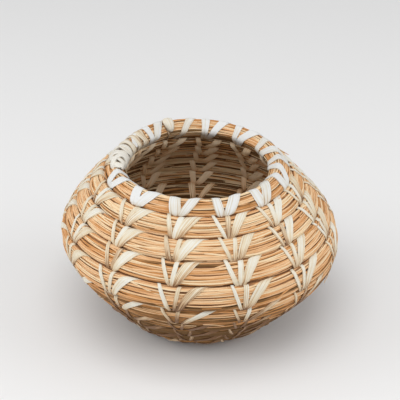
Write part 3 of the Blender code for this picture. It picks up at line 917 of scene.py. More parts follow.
@dataclass
class StemBundle:
    """The grass stems of the coil, round a dark core."""

    wall: Wall
    stems: int = 60
    pieces: int = 5
    straying: int = 8
    thin: float = 0.00030
    thick: float = 0.00050
    sink: float = 0.00016
    lying_share: float = 0.9
    step: float = 0.0040
    most_turn: float = math.radians(8)
    least_radius: float = 0.0020
    twist_length: float = 1.7
    fine_stations: int = 20000
    wanders: tuple[float, float] = (0.6, 3.2)
    least_girth: float = 0.4
    girth_change: float = 0.10
    wander_waves: tuple[float, ...] = (0.21, 0.083, 0.043)
    girth_waves: tuple[float, ...] = (0.06, 0.031)
    sink_waves: tuple[float, ...] = (0.11, 0.052)
    tone_waves: tuple[float, ...] = (0.37, 0.13, 0.06)
    middle_tone: float = 0.66
    stem_tones: float = 0.19
    tone_change: float = 0.18
    # Painted light and shade round each stem: its outer point a little lighter, its sides and back
    # darker, for the shade between neighbouring stems.
    painted_side_shade: tuple[float, ...] = (0.03, -0.03, -0.19, -0.36, -0.19, -0.03)
    core_depth: float = 0.00085
    core_overlap: float = 0.00025
    core_least: float = 0.5
    core_sides: int = 16
    core_coarser: float = 1.6
    bare_lead: float = math.radians(40)
    inside_contrast: float = 2.2
    inside_reach: float = 1.5
    # Painted shade: the stems on the bundle's inner face, inside the basket, are a little darker.
    inside_painted_shade: float = 0.05
    rim_shade: float = 0.15
    # Painted shade towards the foot, partly also aged straw.
    foot_painted_shade: float = 1.08
    seed: int = 11

    def turns(self, coarser: float = 1.0) -> np.ndarray:
        """Stations along the whole bundle, a step apart or at most a share of a turn.

        They stand evenly in the running sum of density, which is radius / step, or
        1 / most_turn where that is more.

        Args:
            coarser: How many times longer the steps are.

        Returns:
            Turns.
        """
        fine = np.linspace(self.wall.begin, self.wall.end_turn, self.fine_stations)
        radius = np.maximum(self.wall.round_radius(fine), self.least_radius)
        density = np.maximum(radius / (self.step * coarser), 1 / self.most_turn)
        gone = np.concatenate([[0], np.cumsum((density[1:] + density[:-1]) / 2 * np.diff(fine))])
        return np.interp(np.linspace(0, gone[-1], int(gone[-1]) + 2), gone, fine)

    def tubes(
        self, turn: np.ndarray, angle: np.ndarray, depth: np.ndarray, radius: np.ndarray
    ) -> np.ndarray:
        """Rings round stem middles, at an angle round the bundle and a depth below its outline.

        Ring point 0 is the one farthest from the bundle's middle. A stem that would be under
        the floor is lifted to lie on it.

        Args:
            turn: Turns of the stations.
            angle: Each stem's angle round the bundle at each station.
            depth: Metres that each stem's middle lies below the outline.
            radius: Each stem's radius at each station.

        Returns:
            Points: stems, stations, ring and x, y, z.
        """
        arc, _ = self.wall.bundle(turn)
        out, up = self.wall.on_outline(turn, *self.wall.outline(angle))
        length = np.hypot(out, up)
        keep = np.maximum(1 - depth / length, self.wall.least_share)
        facing = np.arctan2(up, out)[..., None] + ring_angles(len(self.painted_side_shade))
        points = self.wall.place(
            turn[None, :, None],
            arc[None, :, None],
            (out * keep + self.wall.tail_out(turn))[..., None] + radius[..., None] * np.cos(facing),
            (up * keep)[..., None] + radius[..., None] * np.sin(facing),
        )
        middle_z = points[..., 2].mean(axis=-1, keepdims=True)
        points[..., 2] += np.maximum(radius[..., None] * self.lying_share - middle_z, 0)
        return points

    def stem_rings(self) -> RingMesh:
        """All the stems: each wanders a little round the bundle and in and out of it.

        A stem's angle is number * spacing + a full turn every twist_length + its wander.

        Returns:
            One path for each stem.
        """
        rng = np.random.default_rng(self.seed)
        turn = self.turns()
        arc, share = self.wall.bundle(turn)
        way = np.concatenate([[0], np.cumsum(np.diff(turn) * self.wall.at(arc)[0][1:])])
        spacing = FULL_TURN / self.stems
        number = np.arange(self.stems)[:, None]
        angle = number * spacing + FULL_TURN * way / self.twist_length
        wander = np.where(number % self.straying == 0, self.wanders[1], self.wanders[0])
        angle = angle + spacing * wander * smooth_noise(rng, self.stems, way, self.wander_waves)
        girth = self.least_girth + (1 - self.least_girth) * share
        radius = rng.uniform(self.thin, self.thick, (self.stems, 1)) * girth
        change = self.girth_change * smooth_noise(rng, self.stems, way, self.girth_waves)
        radius = radius * (1 + change)
        sink = self.sink * (1 + smooth_noise(rng, self.stems, way, self.sink_waves))
        points = self.tubes(turn, angle, radius + np.maximum(sink, 0), radius)
        tone = rng.normal(0, self.stem_tones, (self.stems, 1))
        tone = tone + self.tone_change * smooth_noise(rng, self.stems, way, self.tone_waves)
        inside = np.clip(-self.inside_reach * np.cos(angle), 0, 1)
        shade = self.rim_shade * self.wall.rim_loss(turn) / self.wall.rim_thinning
        # Painted shade: stems on the bundle's inner face are a little darker.
        shade = shade + self.inside_painted_shade * inside
        tone = self.middle_tone + tone * (1 + self.inside_contrast * inside) - shade
        # Painted shade towards the foot, partly also aged straw, less on the flat base.
        foot = self.foot_painted_shade * self.wall.low(points[..., 2], arc[None, :, None])
        # Painted shade on each stem's sides and back, which face its neighbours.
        tone = tone[..., None] + np.array(self.painted_side_shade) - foot
        length = np.broadcast_to(way, angle.shape) + rng.random((self.stems, 1))
        return RingMesh(points, tone, length)

    def core_rings(self) -> RingMesh:
        """The core: one tube, a fixed depth below the outline, but as high as the bundle.

        On top of the last round, where no round lies above, it keeps the same depth there too.

        Returns:
            One path.
        """
        turn = self.turns(self.core_coarser)[:, None]
        out, up = self.wall.outline(ring_angles(self.core_sides))
        arc, share = self.wall.bundle(turn)
        half_out, _ = self.wall.half_sizes(turn)
        half_up = (self.wall.half_pitch(turn, arc) + self.core_overlap) * share
        bare = (turn > self.wall.end_turn - FULL_TURN - self.bare_lead) & (up > 0)
        low_up = np.maximum(half_up - self.core_depth, self.core_least * half_up)
        half_up = np.where(bare, low_up, half_up)
        depth = np.maximum(half_out - self.core_depth, self.core_least * half_out)
        height = out * depth
        along = up * half_up * self.wall.spread(arc, height)
        points = self.wall.place(turn, arc, height + self.wall.tail_out(turn), along)[None]
        points[..., 2] = np.maximum(points[..., 2], self.core_depth)
        tone = np.full(points.shape[:3], PLAIN_TONE)
        return RingMesh(points, tone, path_length(points[:, :, 0]))

    def build(self) -> None:
        """Makes the stems in a few pieces and the core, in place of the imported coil."""
        rings = self.stem_rings()
        finish = StemFinish().make()
        for number in range(self.pieces):
            part = slice(number, None, self.pieces)
            piece = RingMesh(rings.points[part], rings.tone[part], rings.length[part])
            dress(piece.build(f"grass_stems_{number + 1}"), finish, "foundation_coil")
        dress(self.core_rings().build("bundle_core"), CoreFinish().make(), "foundation_coil")


class Course(Enum):
    """The ways a strand runs on the bundle, as the angles it passes: 0 outwards, 90 on top."""

    OUTSIDE = (-44, 62)
    ACROSS_GROOVES = (-44, 46)
    INSIDE = (224, 118)
    OVER_RIM = (-44, 224)


@dataclass(frozen=True)
class StrapShape:
    """The outline of one strand.

    Attributes:
        course: The way it runs.
        left: Metres of its left edge from the foot's middle, evenly spaced along the way.
        right: Metres of its right edge, at the same places.
        tones: Tone at evenly spaced places along the way.
        lift: Metres that its middle stands above the stems.
    """

    course: Course
    left: tuple[float, ...]
    right: tuple[float, ...]
    tones: tuple[float, ...] = (0.10, 0.32, 0.58, 0.7, 0.64)
    lift: float = 0.00030


def mm(*values: float) -> tuple[float, ...]:
    """Millimetres as metres."""
    return tuple(value * MM for value in values)


LEFT_HALF = StrapShape(
    Course.ACROSS_GROOVES, mm(-1.8, -2.3, -3.2, -4.1, -4.9), mm(-0.35, -0.65, -1.4, -2.35, -3.5)
)
RIGHT_HALF = StrapShape(
    Course.OUTSIDE, mm(-0.55, -0.45, 0.05, 0.8, 1.6), mm(0.8, 1.30, 2.1, 2.9, 3.7)
)
WIDE_ARM = StrapShape(
    Course.OUTSIDE, mm(0.6, 1.1, 2.2, 4.2, 8.0), mm(2.0, 3.8, 6.4, 9.8, 14.0), lift=0.00038
)
INNER_TONES = (0.3, 0.65, 0.85, 0.85, 0.5)
INNER_PLUMB = StrapShape(
    Course.INSIDE,
    mm(-1.1, -0.9, -0.5, 0.0, 0.5),
    mm(1.2, 1.7, 2.4, 3.0, 3.5),
    INNER_TONES,
    lift=0.0008,
)
INNER_SLANT = StrapShape(
    Course.INSIDE,
    mm(-1.8, -4.6, -7.3, -9.9, -12.5),
    mm(0.8, -0.8, -3.0, -5.4, -8.0),
    INNER_TONES,
    lift=0.0010,
)
RIM_TONES = (0.35, 0.7, 0.85, 0.9, 0.8, 0.7, 0.5, 0.25, 0.1)
RIM_PLUMB = StrapShape(
    Course.OVER_RIM,
    mm(-1.7, -2.8, -3.6, -4.0, -3.9, -3.5, -2.9, -2.3, -1.8),
    mm(0.6, 1.1, 1.0, 0.3, 0.0, 0.2, 0.7, 1.1, 1.2),
    RIM_TONES,
    lift=0.00036,
)
RIM_SLANT = StrapShape(
    Course.OVER_RIM,
    mm(-0.2, 0.6, 1.9, 3.9, 6.4, 9.0, 11.8, 14.4, 16.0),
    mm(1.4, 4.4, 7.2, 9.2, 11.4, 13.6, 15.8, 17.6, 18.4),
    RIM_TONES,
    lift=0.00042,
)
THIN_BROWN = StrapShape(
    Course.OVER_RIM,
    mm(2.2, 2.9, 3.2, 3.4, 3.2, 3.0, 2.4, 1.8, 1.2),
    mm(3.2, 3.9, 4.2, 4.5, 4.4, 4.2, 3.6, 3.0, 2.4),
    (0.2, 0.3, 0.35, 0.3, 0.25, 0.2, 0.15),
    lift=0.0005,
)


@dataclass
class StrandWork:
    """Shapes strands that lie on the bundle."""

    wall: Wall
    stations: int = 9
    edge_degree: int = 4
    full_spacing: float = 0.0180
    under: float = -0.00030
    edge: float = 0.00020
    # Darker band edges: partly tan fibres at the edges, partly painted shade along them.
    edge_tan_and_shade: float = 0.16
    # Painted shade on the strands towards the foot, partly also aged straw.
    foot_painted_shade: float = 0.92
    tone_spread: float = 0.17
    # Painted shadow of the hole, over the first share of the strand that comes out of it.
    painted_hole_shadow: float = 0.5
    hole_shadow_share: float = 0.04
    foot_spread: float = 0.00025
    tip_spread: float = 0.00050
    width_shares: tuple[float, float] = (0.82, 1.14)
    crown_shares: tuple[float, float] = (0.85, 1.3)
    least_half: float = 0.0003
    floor_gap: float = 0.00002
    lip: tuple[tuple[float, float], ...] = ((0.68, -1.15), (0.75, -1.03), (0.80, -0.91))
    plunge: tuple[float, float] = (0.42, 0.99)
    reach_over: tuple[float, float] = (0.70, 1.10)

    def course_points(self, course: Course, stations: int) -> np.ndarray:
        """Places on the outline's square that a strand passes.

        It comes out of the round below just under the groove, crosses the groove, follows the
        bundle, and ends in the groove above or comes back through the groove below.

        Args:
            course: The way that it runs.
            stations: Places between its two ends.

        Returns:
            Array of stations and out, up.
        """
        first, last = (math.radians(angle) for angle in course.value)
        along = np.stack(self.wall.outline(np.linspace(first, last, stations)), axis=1)
        lip = np.array(self.lip)
        if course is Course.OUTSIDE:
            return np.concatenate([lip, along, [self.plunge]])
        if course is Course.ACROSS_GROOVES:
            return np.concatenate([lip, along, [self.reach_over]])
        inner = lip * (-1, 1)
        if course is Course.INSIDE:
            return np.concatenate([inner, along, [(-self.plunge[0], self.plunge[1])]])
        return np.concatenate([lip, along, inner[::-1]])

    def strap(
        self,
        turn: float,
        shape: StrapShape,
        rng: np.random.Generator,
        stations: int | None = None,
        slant: float = 1.0,
        width: float = 1.0,
    ) -> RingMesh:
        """One strand: a thin crowned band, its two edges set apart at each place of its way.

        The band's ring has three points on top, the middle one raised, and three underneath,
        sunk into the stems. Its edges are creased, because a split strand is flat. Each edge is
        a polynomial through the places that its shape gives.

        Args:
            turn: The turn of the stitch's foot.
            shape: The outline.
            rng: The random source for small differences.
            stations: Places along the band, without those at its two ends, or the usual number.
            slant: How much more than usual it leans.
            width: How much wider than usual it is.

        Returns:
            The band as one path of rings of six.
        """
        square = self.course_points(shape.course, stations or self.stations)
        t = np.linspace(0, 1, len(square))
        places = np.linspace(0, 1, len(shape.left))
        radius = float(self.wall.round_radius(np.array(turn)))
        crowd = min(1.0, radius * self.wall.column_step / self.full_spacing)
        left, right = (
            np.polyval(np.polyfit(places, side, self.edge_degree), t) * crowd
            for side in (shape.left, shape.right)
        )
        lean = rng.normal(0, self.foot_spread) + rng.normal(0, self.tip_spread) * t
        middle = (left + right) / 2 * (1 + (slant - 1) * t) + lean
        half = (right - left) / 2 * rng.uniform(*self.width_shares) * width
        half = np.maximum(half, self.least_half)
        across = np.array(BAND_ACROSS)
        crown = shape.lift * rng.uniform(*self.crown_shares)
        lift = np.array([self.edge, crown, self.edge, self.under, self.under, self.under])
        base = turn - self.wall.drift * t * (shape.course is not Course.OVER_RIM)
        where = base[:, None] + (middle[:, None] + half[:, None] * across) / radius
        points = self.wall.on_bundle(where, square[:, :1], square[:, 1:], lift[None])[None]
        points[..., 2] = np.maximum(points[..., 2], self.floor_gap)
        tone = np.interp(t, np.linspace(0, 1, len(shape.tones)), shape.tones)
        # Painted shadow of the hole at the strand's foot.
        tone = tone + rng.normal(0, self.tone_spread) - self.painted_hole_shadow * (t < self.hole_shadow_share)
        # Darker edges: partly tan edge fibres, partly painted shade along them.
        tone = tone[None, :, None] - self.edge_tan_and_shade * np.abs(across)
        # Painted shade towards the foot, partly also aged straw.
        tone = tone - self.foot_painted_shade * self.wall.low(points[..., 2], self.wall.round_arc(turn))
        return band(points, tone, rng)


@dataclass
class Columns:
    """The columns of split stitches, on both faces of the wall.

    The widths and slants are shares of the usual ones, from row 1 down; the last goes on."""

    wall: Wall
    work: StrandWork
    base_arc: float = 0.0250
    lowest_rise: float = 0.0048
    half_widths: tuple[float, ...] = (1.0, 1.0, 1.0, 0.92, 0.78, 0.65)
    arm_widths: tuple[float, ...] = (1.0, 1.0, 1.0, 0.95, 0.85, 0.75)
    arm_slants: tuple[float, ...] = (1.0, 1.0, 1.05, 1.25, 1.75, 1.75)
    inner_start: float = 0.0120
    inner_skip: float = 1.8
    seed: int = 100

    def rows(self, column: int, lowest: float) -> list[int]:
        """The rows of a column, from the round below the rim down to a lowest arc.

        Args:
            column: The column's number.
            lowest: Metres up the section.

        Returns:
            The rows' numbers.
        """
        rows = []
        row = 1
        while self.wall.round_arc(self.wall.column_turn(column, row)) > lowest:
            rows.append(row)
            row += 1
        return rows

    def straps(self, column: int, rng: np.random.Generator) -> list[RingMesh]:
        """Every strand of one column on the outside: two halves and a wide arm a row.

        Args:
            column: The column's number.
            rng: The random source, seeded.

        Returns:
            The strands, from the top down.
        """
        straps = []
        for row in self.rows(column, self.base_arc + self.lowest_rise):
            turn = self.wall.column_turn(column, row)
            place = min(row, len(self.arm_slants)) - 1
            for shape in (LEFT_HALF, RIGHT_HALF):
                straps.append(self.work.strap(turn, shape, rng, width=self.half_widths[place]))
            slant, width = self.arm_slants[place], self.arm_widths[place]
            straps.append(self.work.strap(turn, WIDE_ARM, rng, slant=slant, width=width))
        return straps

    def inner_straps(self, column: int, rng: np.random.Generator) -> list[RingMesh]:
        """The two arms of each stitch on the inside.

        Near the middle of the base only every second column goes on: the others end
        inner_skip times as far from it.

        Args:
            column: The column's number.
            rng: The random source, seeded.

        Returns:
            The strands, from the top down.
        """
        return [
            self.work.strap(self.wall.column_turn(column, row), shape, rng)
            for row in self.rows(column, self.inner_start * (1 if column % 2 else self.inner_skip))
            for shape in (INNER_PLUMB, INNER_SLANT)
        ]

    def build(self, first: int) -> None:
        """Makes an outer and an inner piece for each column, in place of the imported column.

        Args:
            first: The number of the first column past the bundle's end.
        """
        outer, inner = WALL_STRAND.make(), INNER_STRAND.make()
        for number in range(self.wall.columns):
            rng = np.random.default_rng(self.seed + number)
            name, node = f"strands_{number + 1:02d}", f"stitch_column_{number + 1:02d}"
            dress(joined(self.straps(first + number, rng)).build(f"outer_{name}"), outer, node)
            dress(joined(self.inner_straps(first + number, rng)).build(f"inner_{name}"), inner, node)


@dataclass(frozen=True)
class Wrap:
    """One wrap of the binding at the bundle's end.

    Attributes:
        turn: The turn of its middle.
        width: Metres across.
        slant: How far its top lies past its middle, as a turn.
        lift: Metres that it stands above the bundle.
        tone: How pale it is.
    """

    turn: float
    width: float
    slant: float
    lift: float
    tone: float


def wrap_of(turn: float, width: float, slant: float, lift: float, tone: float) -> Wrap:
    """A wrap given in degrees and millimetres."""
    return Wrap(math.radians(turn), width * MM, math.radians(slant), lift * MM, tone)


WRAPS = (
    wrap_of(236.0, 2.9, 2.0, 0.40, 0.30),
    wrap_of(239.6, 3.1, 0.5, 0.60, 0.40),
    wrap_of(243.0, 2.6, 2.0, 0.45, 0.30),
    wrap_of(247.0, 2.9, -1.0, 0.75, 0.38),
    wrap_of(251.0, 2.6, 3.0, 0.50, 0.30),
    wrap_of(255.0, 3.2, 0.5, 0.90, 0.50),
    wrap_of(259.5, 2.3, 4.5, 0.55, 0.75),
    wrap_of(262.5, 2.7, -1.0, 1.00, 0.70),
    wrap_of(266.5, 2.4, 3.5, 0.60, 0.90),
    wrap_of(270.0, 3.0, 0.0, 1.10, 0.85),
    wrap_of(274.0, 2.6, 5.0, 0.70, 0.75),
    wrap_of(277.0, 3.1, -4.0, 1.20, 1.00),
    wrap_of(281.0, 2.8, 2.0, 0.70, 0.95),
)


@dataclass
class Rim:
    """The stitches over the rim, the binding at the bundle's end and the knot."""

    wall: Wall
    work: StrandWork
    stitches: int = 12
    blunt_from: float = math.radians(262)
    hold_from: float = math.radians(256)
    hold_below: float = 0.6
    hold_turned: float = math.radians(40)
    least_wrap: float = 0.0031
    roundest_share: float = 0.99
    wrap_start: float = math.radians(-100)
    wrap_stations: int = 33
    wrap_across_shares: tuple[float, ...] = (-1, -0.2, 1, 1, -0.2, -1)
    wrap_lift_shares: tuple[float, ...] = (0.45, 1, 0.6, -0.3, -0.3, -0.3)
    # Painted shade at the wraps' edges, where each tucks under its neighbour.
    wrap_painted_edge_shade: tuple[float, ...] = (-0.5, 0, 0.1, 0, 0, -0.5)
    wrap_sway: float = math.radians(0.57)
    wrap_swell_share: float = 0.15
    knot_column: int = 8
    knot_half_width: float = 0.0028
    knot_middle: float = 0.0014
    knot_thickness: float = 0.0030
    knot_gap: float = 0.0002
    knot_angles: tuple[float, float] = (math.radians(84), math.radians(42))
    knot_reach_share: float = 0.98
    knot_taper_share: float = 0.25
    knot_stations: int = 17
    knot_sides: int = 12
    knot_tone: float = 0.62
    rim_stations: int = 24
    stitch_seed: int = 200
    lashing_seed: int = 40

    def stitch(self, column: int, rng: np.random.Generator) -> RingMesh:
        """The two arms of one stitch, each over the rim and down the inside.

        Where the knot lies, a thin brown strand shows beside it in place of the plumb arm.

        Args:
            column: The column's number.
            rng: The random source, seeded.

        Returns:
            Both arms.
        """
        turn = self.wall.column_turn(column, 0)
        plumb = THIN_BROWN if column == self.knot_column else RIM_PLUMB
        shapes = (plumb, RIM_SLANT)
        return joined([self.work.strap(turn, shape, rng, self.rim_stations) for shape in shapes])

    def wrap(self, wrap: Wrap, rng: np.random.Generator) -> RingMesh:
        """One close wrap: a band right round the bundle, leaning from foot to top.

        It follows the bundle's squarish outline where the bundle is full, and turns round as
        the bundle thins. It is never tighter than a round end: half its width is at least
        least_wrap * sqrt(1 - gone^2), where gone is how far it is towards the bundle's end. On
        its way round it sways twice to the side and swells three times.

        Args:
            wrap: The wrap's place and sizes.
            rng: The random source, seeded.

        Returns:
            The band as one path.
        """
        angle = self.wrap_start + np.linspace(0, FULL_TURN, self.wrap_stations)
        lifts = np.array(self.wrap_lift_shares) * wrap.lift
        sway = self.wrap_sway * np.sin(2 * angle + rng.random() * FULL_TURN)
        swell = 1 + self.wrap_swell_share * np.sin(3 * angle + rng.random() * FULL_TURN)
        half = wrap.width / 2 / self.wall.rim_radius * swell
        middle = wrap.turn + wrap.slant * np.sin(angle) + sway
        where = middle[:, None] + half[:, None] * np.array(self.wrap_across_shares)
        gone = (where - self.blunt_from) / (self.wall.end_turn - self.blunt_from)
        least = self.least_wrap * np.sqrt(1 - np.clip(gone, 0, self.roundest_share) ** 2)
        arc, full = self.wall.bundle(where)
        round_way = np.cos(angle)[:, None], np.sin(angle)[:, None]
        square_way = self.wall.outline(angle[:, None])
        out, up = (a * (1 - full) + b * full for a, b in zip(round_way, square_way))
        half_out, half_up = self.wall.half_sizes(where)
        hold = share_gone(where, self.hold_from, self.wall.end_turn)
        facing = np.clip(np.cos(angle + self.hold_turned), 0, 1)[:, None]
        reach = 1 + self.hold_below * hold * facing
        height = out * (np.maximum(half_out, least) * reach + lifts[None])
        along = up * (np.maximum(half_up, least) * reach + lifts[None])
        points = self.wall.place(where, arc, height + self.wall.tail_out(where), along)[None]
        # Painted shade at each wrap's edges.
        tone = np.broadcast_to(wrap.tone + np.array(self.wrap_painted_edge_shade), points.shape[:3])
        return band(points, tone, rng)

    def lashing(self) -> RingMesh:
        """The close wraps, laid over one another."""
        rng = np.random.default_rng(self.lashing_seed)
        return joined([self.wrap(wrap, rng) for wrap in WRAPS])

    def knot(self) -> RingMesh:
        """A fat short loop over the rim: a dome whose thickness falls off to its edges.

        Its height is thickness * sqrt(1 - along^2) * (1 + sine round the ring) / 2, over a
        saddle of the bundle's outside. It narrows towards its inner end.

        Returns:
            One path.
        """
        turn = self.wall.column_turn(self.knot_column, 0)
        radius = float(self.wall.round_radius(np.array(turn)))
        t = np.linspace(-self.knot_reach_share, self.knot_reach_share, self.knot_stations)
        around = ring_angles(self.knot_sides)
        middle, half = self.knot_angles
        fall = np.sqrt(1 - (self.knot_reach_share * t) ** 2)
        width = self.knot_half_width * fall * (1 - self.knot_taper_share * t)
        where = turn + (self.knot_middle + width[:, None] * np.cos(around)[None]) / radius
        dome = fall[:, None] * (1 + np.sin(around)[None]) / 2
        out, up = self.wall.outline((middle + half * t)[:, None])
        lift = self.knot_gap + self.knot_thickness * dome
        points = self.wall.on_bundle(where, out, up, lift)[None]
        tone = np.full(points.shape[:3], self.knot_tone)
        top = self.knot_sides // 4
        return RingMesh(points, tone, path_length(points[:, :, top]))

    def build(self, first: int) -> None:
        """Makes a piece for each stitch, the lashing and the knot.

        Args:
            first: The number of the first column past the bundle's end.
        """
        finish = RIM_STRAND.make()
        for number in range(self.stitches):
            rng = np.random.default_rng(self.stitch_seed + number)
            piece = self.stitch(first + number, rng).build(f"rim_strands_{number + 1:02d}")
            dress(piece, finish, f"rim_stitch_{number + 1:02d}")
        cream = LASHING_STRAND.make()
        dress(self.lashing().build("lashing_wraps"), cream, "rim_end_lashing")
        dress(self.knot().build("knot_loop"), cream, "rim_knot")


@dataclass(frozen=True)
class LooseStem:
    """A thin stem end that has come away from the bundle.

    Attributes:
        turn: The turn where it starts, row 0 being the rim's round.
        angle: Its place round the bundle at the start: 0 outwards, 180 inwards.
        run: How far it goes on, as a turn.
        climb: Metres that it goes up the wall.
        away: Metres that its end stands off the wall.
    """

    turn: float
    angle: float
    run: float
    climb: float
    away: float


@dataclass
class LooseEnds:
    """A few stem ends that stand off the wall, and one that hangs inside."""

    wall: Wall
    count: int = 16
    stations: int = 14
    radius: float = 0.00028
    end_share: float = 0.45
    sides: int = 5
    rows: tuple[int, int] = (1, 7)
    end_shares: tuple[float, float] = (0.60, 0.76)
    angles: tuple[float, float] = (math.radians(-50), math.radians(50))
    runs: tuple[float, float] = (0.08, 0.17)
    climb: float = 0.0008
    aways: tuple[float, float] = (0.0003, 0.0013)
    tones: tuple[float, float] = (0.35, 0.8)
    bedded_share: float = 0.3
    hanging: LooseStem = LooseStem(math.radians(-870), math.pi, 0.08, -0.0131, 0.0080)
    hanging_tone: float = 1.1
    seed: int = 5

    def scattered(self) -> list[LooseStem]:
        """Stem ends on the outside, each nearly along the bundle, its tip between two columns.

        Returns:
            The stem ends.
        """
        rng = np.random.default_rng(self.seed)
        stems = []
        for _ in range(self.count):
            column = self.wall.first_number + int(rng.integers(self.wall.columns))
            past = rng.uniform(*self.end_shares) * self.wall.column_step
            tip = self.wall.column_turn(column, int(rng.integers(*self.rows))) + past
            run = rng.choice((-1, 1)) * rng.uniform(*self.runs)
            angle, climb = rng.uniform(*self.angles), rng.normal(0, self.climb)
            stems.append(LooseStem(tip - run, angle, run, climb, rng.uniform(*self.aways)))
        return stems

    def path(self, stem: LooseStem) -> np.ndarray:
        """Points along one stem. It leaves the bundle by away * t^2, and climbs evenly.

        Args:
            stem: The stem end.

        Returns:
            Array of stations and x, y, z.
        """
        t = np.linspace(0, 1, self.stations)
        turn = stem.turn + stem.run * t
        arc, _ = self.wall.bundle(turn)
        out, up = self.wall.outline(np.full(self.stations, stem.angle))
        height, along = self.wall.on_outline(turn, out, up)
        side = math.copysign(1, math.cos(stem.angle))
        height = height + side * (self.radius * self.bedded_share + stem.away * t**2)
        return self.wall.place(turn, arc, height, along + stem.climb * t)

    def rings(self) -> RingMesh:
        """Every loose stem as a tube that thins to its end.

        A ring is the path's point + radius * (side * cos + other side * sin).

        Returns:
            One path for each stem.
        """
        stems = [self.hanging, *self.scattered()]
        paths = np.stack([self.path(stem) for stem in stems])
        ahead = np.gradient(paths, axis=1)
        ahead /= np.linalg.norm(ahead, axis=-1, keepdims=True)
        side = np.cross(ahead, (0.0, 0.0, 1.0))
        side /= np.maximum(np.linalg.norm(side, axis=-1, keepdims=True), TINY)
        other = np.cross(side, ahead)
        around = ring_angles(self.sides)[None, None, :, None]
        thinning = np.linspace(1, self.end_share, paths.shape[1])
        thick = self.radius * thinning[None, :, None, None]
        spoke = side[:, :, None] * np.cos(around) + other[:, :, None] * np.sin(around)
        points = paths[:, :, None] + thick * spoke
        rng = np.random.default_rng(self.seed + 1)
        tones = rng.uniform(*self.tones, (len(stems), 1, 1))
        tones[0] = self.hanging_tone
        return RingMesh(points, np.broadcast_to(tones, points.shape[:3]), path_length(paths))

    def build(self) -> None:
        """Makes the loose ends as one piece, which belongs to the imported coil."""
        dress(self.rings().build("loose_stem_ends"), StemFinish().make(), "foundation_coil")


@dataclass
class StartKnot:
    """The wrapped first turn of the bundle in the middle of the base."""

    wall: Wall
    radius: float = 0.0049
    thickness: float = 0.0025
    wraps: int = 15
    stations: int = 15
    sway: float = math.radians(5.7)
    half_width_share: float = 0.56
    lifts: tuple[float, ...] = (0.0001, 0.0004, 0.0001, -0.0002, -0.0002, -0.0002)
    tones: tuple[float, float] = (0.6, 0.1)
    seed: int = 7

    def ringlet(self) -> RingMesh:
        """Wraps round a small ring: each is a band about a torus, one after another.

        Returns:
            One path for each wrap.
        """
        rng = np.random.default_rng(self.seed)
        angle = np.linspace(0, FULL_TURN, self.stations)
        across = np.array(BAND_ACROSS)
        middle = self.wall.floor_drop + self.wall.dome_height
        step = FULL_TURN / self.wraps
        parts = []
        for number in range(self.wraps):
            turn = step * number + self.sway * np.sin(angle)
            where = turn[:, None] + step * self.half_width_share * across[None]
            reach = np.broadcast_to(self.thickness + np.array(self.lifts), where.shape)
            ring = self.radius - self.thickness
            out = ring + reach * np.cos(angle)[:, None]
            points = np.stack([
                self.wall.axis[0] + out * np.sin(where),
                self.wall.axis[1] - out * np.cos(where),
                middle + reach * np.sin(angle)[:, None],
            ], axis=-1)[None]
            tone = np.full(points.shape[:3], rng.normal(*self.tones))
            length = path_length(points[:, :, BAND_TOP]) + rng.random()
            parts.append(RingMesh(points, tone, length))
        return joined(parts)

    def build(self) -> None:
        """Makes the wrapped ring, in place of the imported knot."""
        dress(self.ringlet().build("start_wraps"), INNER_STRAND.make(), "start_knot")


@dataclass(frozen=True)
class Lamp:
    """A soft square lamp: its place, its side and its power in watts."""

    name: str
    where: Place
    size: float
    power: float


LAMPS = (
    Lamp("key", (-0.10, -0.42, 1.15), 0.9, 5.8),
    Lamp("front_fill", (-0.20, -1.05, 1.00), 0.7, 2.2),
    Lamp("left_fill", (-1.00, -0.20, 0.50), 0.8, 4.2),
    Lamp("right_fill", (1.00, -0.20, 0.50), 0.8, 4.2),
)


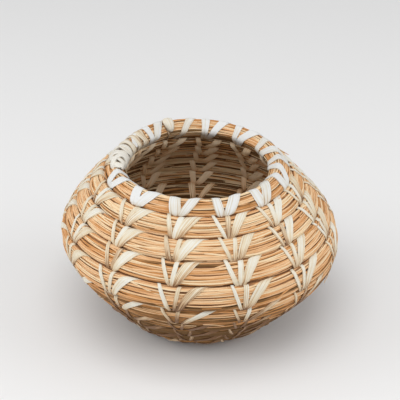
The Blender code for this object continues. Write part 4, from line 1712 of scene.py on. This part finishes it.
@dataclass(frozen=True)
class Studio:
    """The floor, the lights and the camera."""

    distance: float = 0.572
    elevation: float = math.radians(31.09)
    lens: float = 111.7
    shift: tuple[float, float] = (-0.0015, 0.093)
    aim_above: float = 0.03545
    floor: Colour = (0.82, 0.82, 0.82)
    floor_roughness: float = 0.9
    floor_half: float = 12.0
    sky: Colour = (0.80, 0.80, 0.80)
    sky_strength: float = 0.57
    lit_place: Place = (0.0, 0.0, 0.04)
    sensor: float = 36

    def camera(self, wall: Wall) -> None:
        """Sets the camera a distance back from the aim point, at the photograph's elevation.

        Args:
            wall: The wall, whose axis the camera looks at.
        """
        data = bpy.data.cameras.new("camera")
        data.lens = self.lens
        data.sensor_width = self.sensor
        data.shift_x, data.shift_y = self.shift
        camera = new_object("camera", data)
        back = self.distance * math.cos(self.elevation)
        up = self.distance * math.sin(self.elevation)
        x, y = wall.axis
        camera.location = (x, y - back, wall.floor_drop + self.aim_above + up)
        camera.rotation_euler = (math.pi / 2 - self.elevation, 0, 0)
        bpy.context.scene.camera = camera

    def light(self, lamp: Lamp) -> None:
        """Sets up one lamp, turned to face the middle of the basket.

        Args:
            lamp: The lamp's place, side and power.
        """
        data = bpy.data.lights.new(lamp.name, "AREA")
        data.energy = lamp.power
        data.size = lamp.size
        piece = new_object(lamp.name, data)
        piece.location = lamp.where
        x, y, z = (a - b for a, b in zip(lamp.where, self.lit_place))
        piece.rotation_euler = (math.atan2(math.hypot(x, y), z), 0, math.atan2(x, -y))

    def ground(self) -> None:
        """A wide pale floor that keeps the basket's shadow."""
        half = self.floor_half
        corners = [(-half, -half, 0), (half, -half, 0), (half, half, 0), (-half, half, 0)]
        mesh = bpy.data.meshes.new("floor")
        mesh.from_pydata(corners, [], [(0, 1, 2, 3)])
        floor = new_object("floor", mesh)
        nodes = Nodes("pale_floor", self.floor_roughness)
        nodes.shader.inputs["Base Color"].default_value = (*self.floor, 1)
        floor.data.materials.append(nodes.material)

    def build(self, wall: Wall) -> None:
        """Makes the whole studio.

        Args:
            wall: The wall, whose axis the camera looks at.
        """
        world = bpy.data.worlds.new("studio")
        world.use_nodes = True
        background = world.node_tree.nodes["Background"]
        background.inputs["Color"].default_value = (*self.sky, 1)
        background.inputs["Strength"].default_value = self.sky_strength
        bpy.context.scene.world = world
        bpy.context.scene.view_settings.view_transform = "Standard"
        self.ground()
        for lamp in LAMPS:
            self.light(lamp)
        self.camera(wall)


def main() -> None:
    """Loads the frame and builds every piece."""
    logging.basicConfig(level=logging.INFO, format="%(message)s")
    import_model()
    wall = Wall()
    work = StrandWork(wall)
    first = wall.first_number
    Studio().build(wall)
    StemBundle(wall).build()
    LooseEnds(wall).build()
    StartKnot(wall).build()
    Columns(wall, work).build(first)
    Rim(wall, work).build(first)


if __name__ == "__main__":
    main()
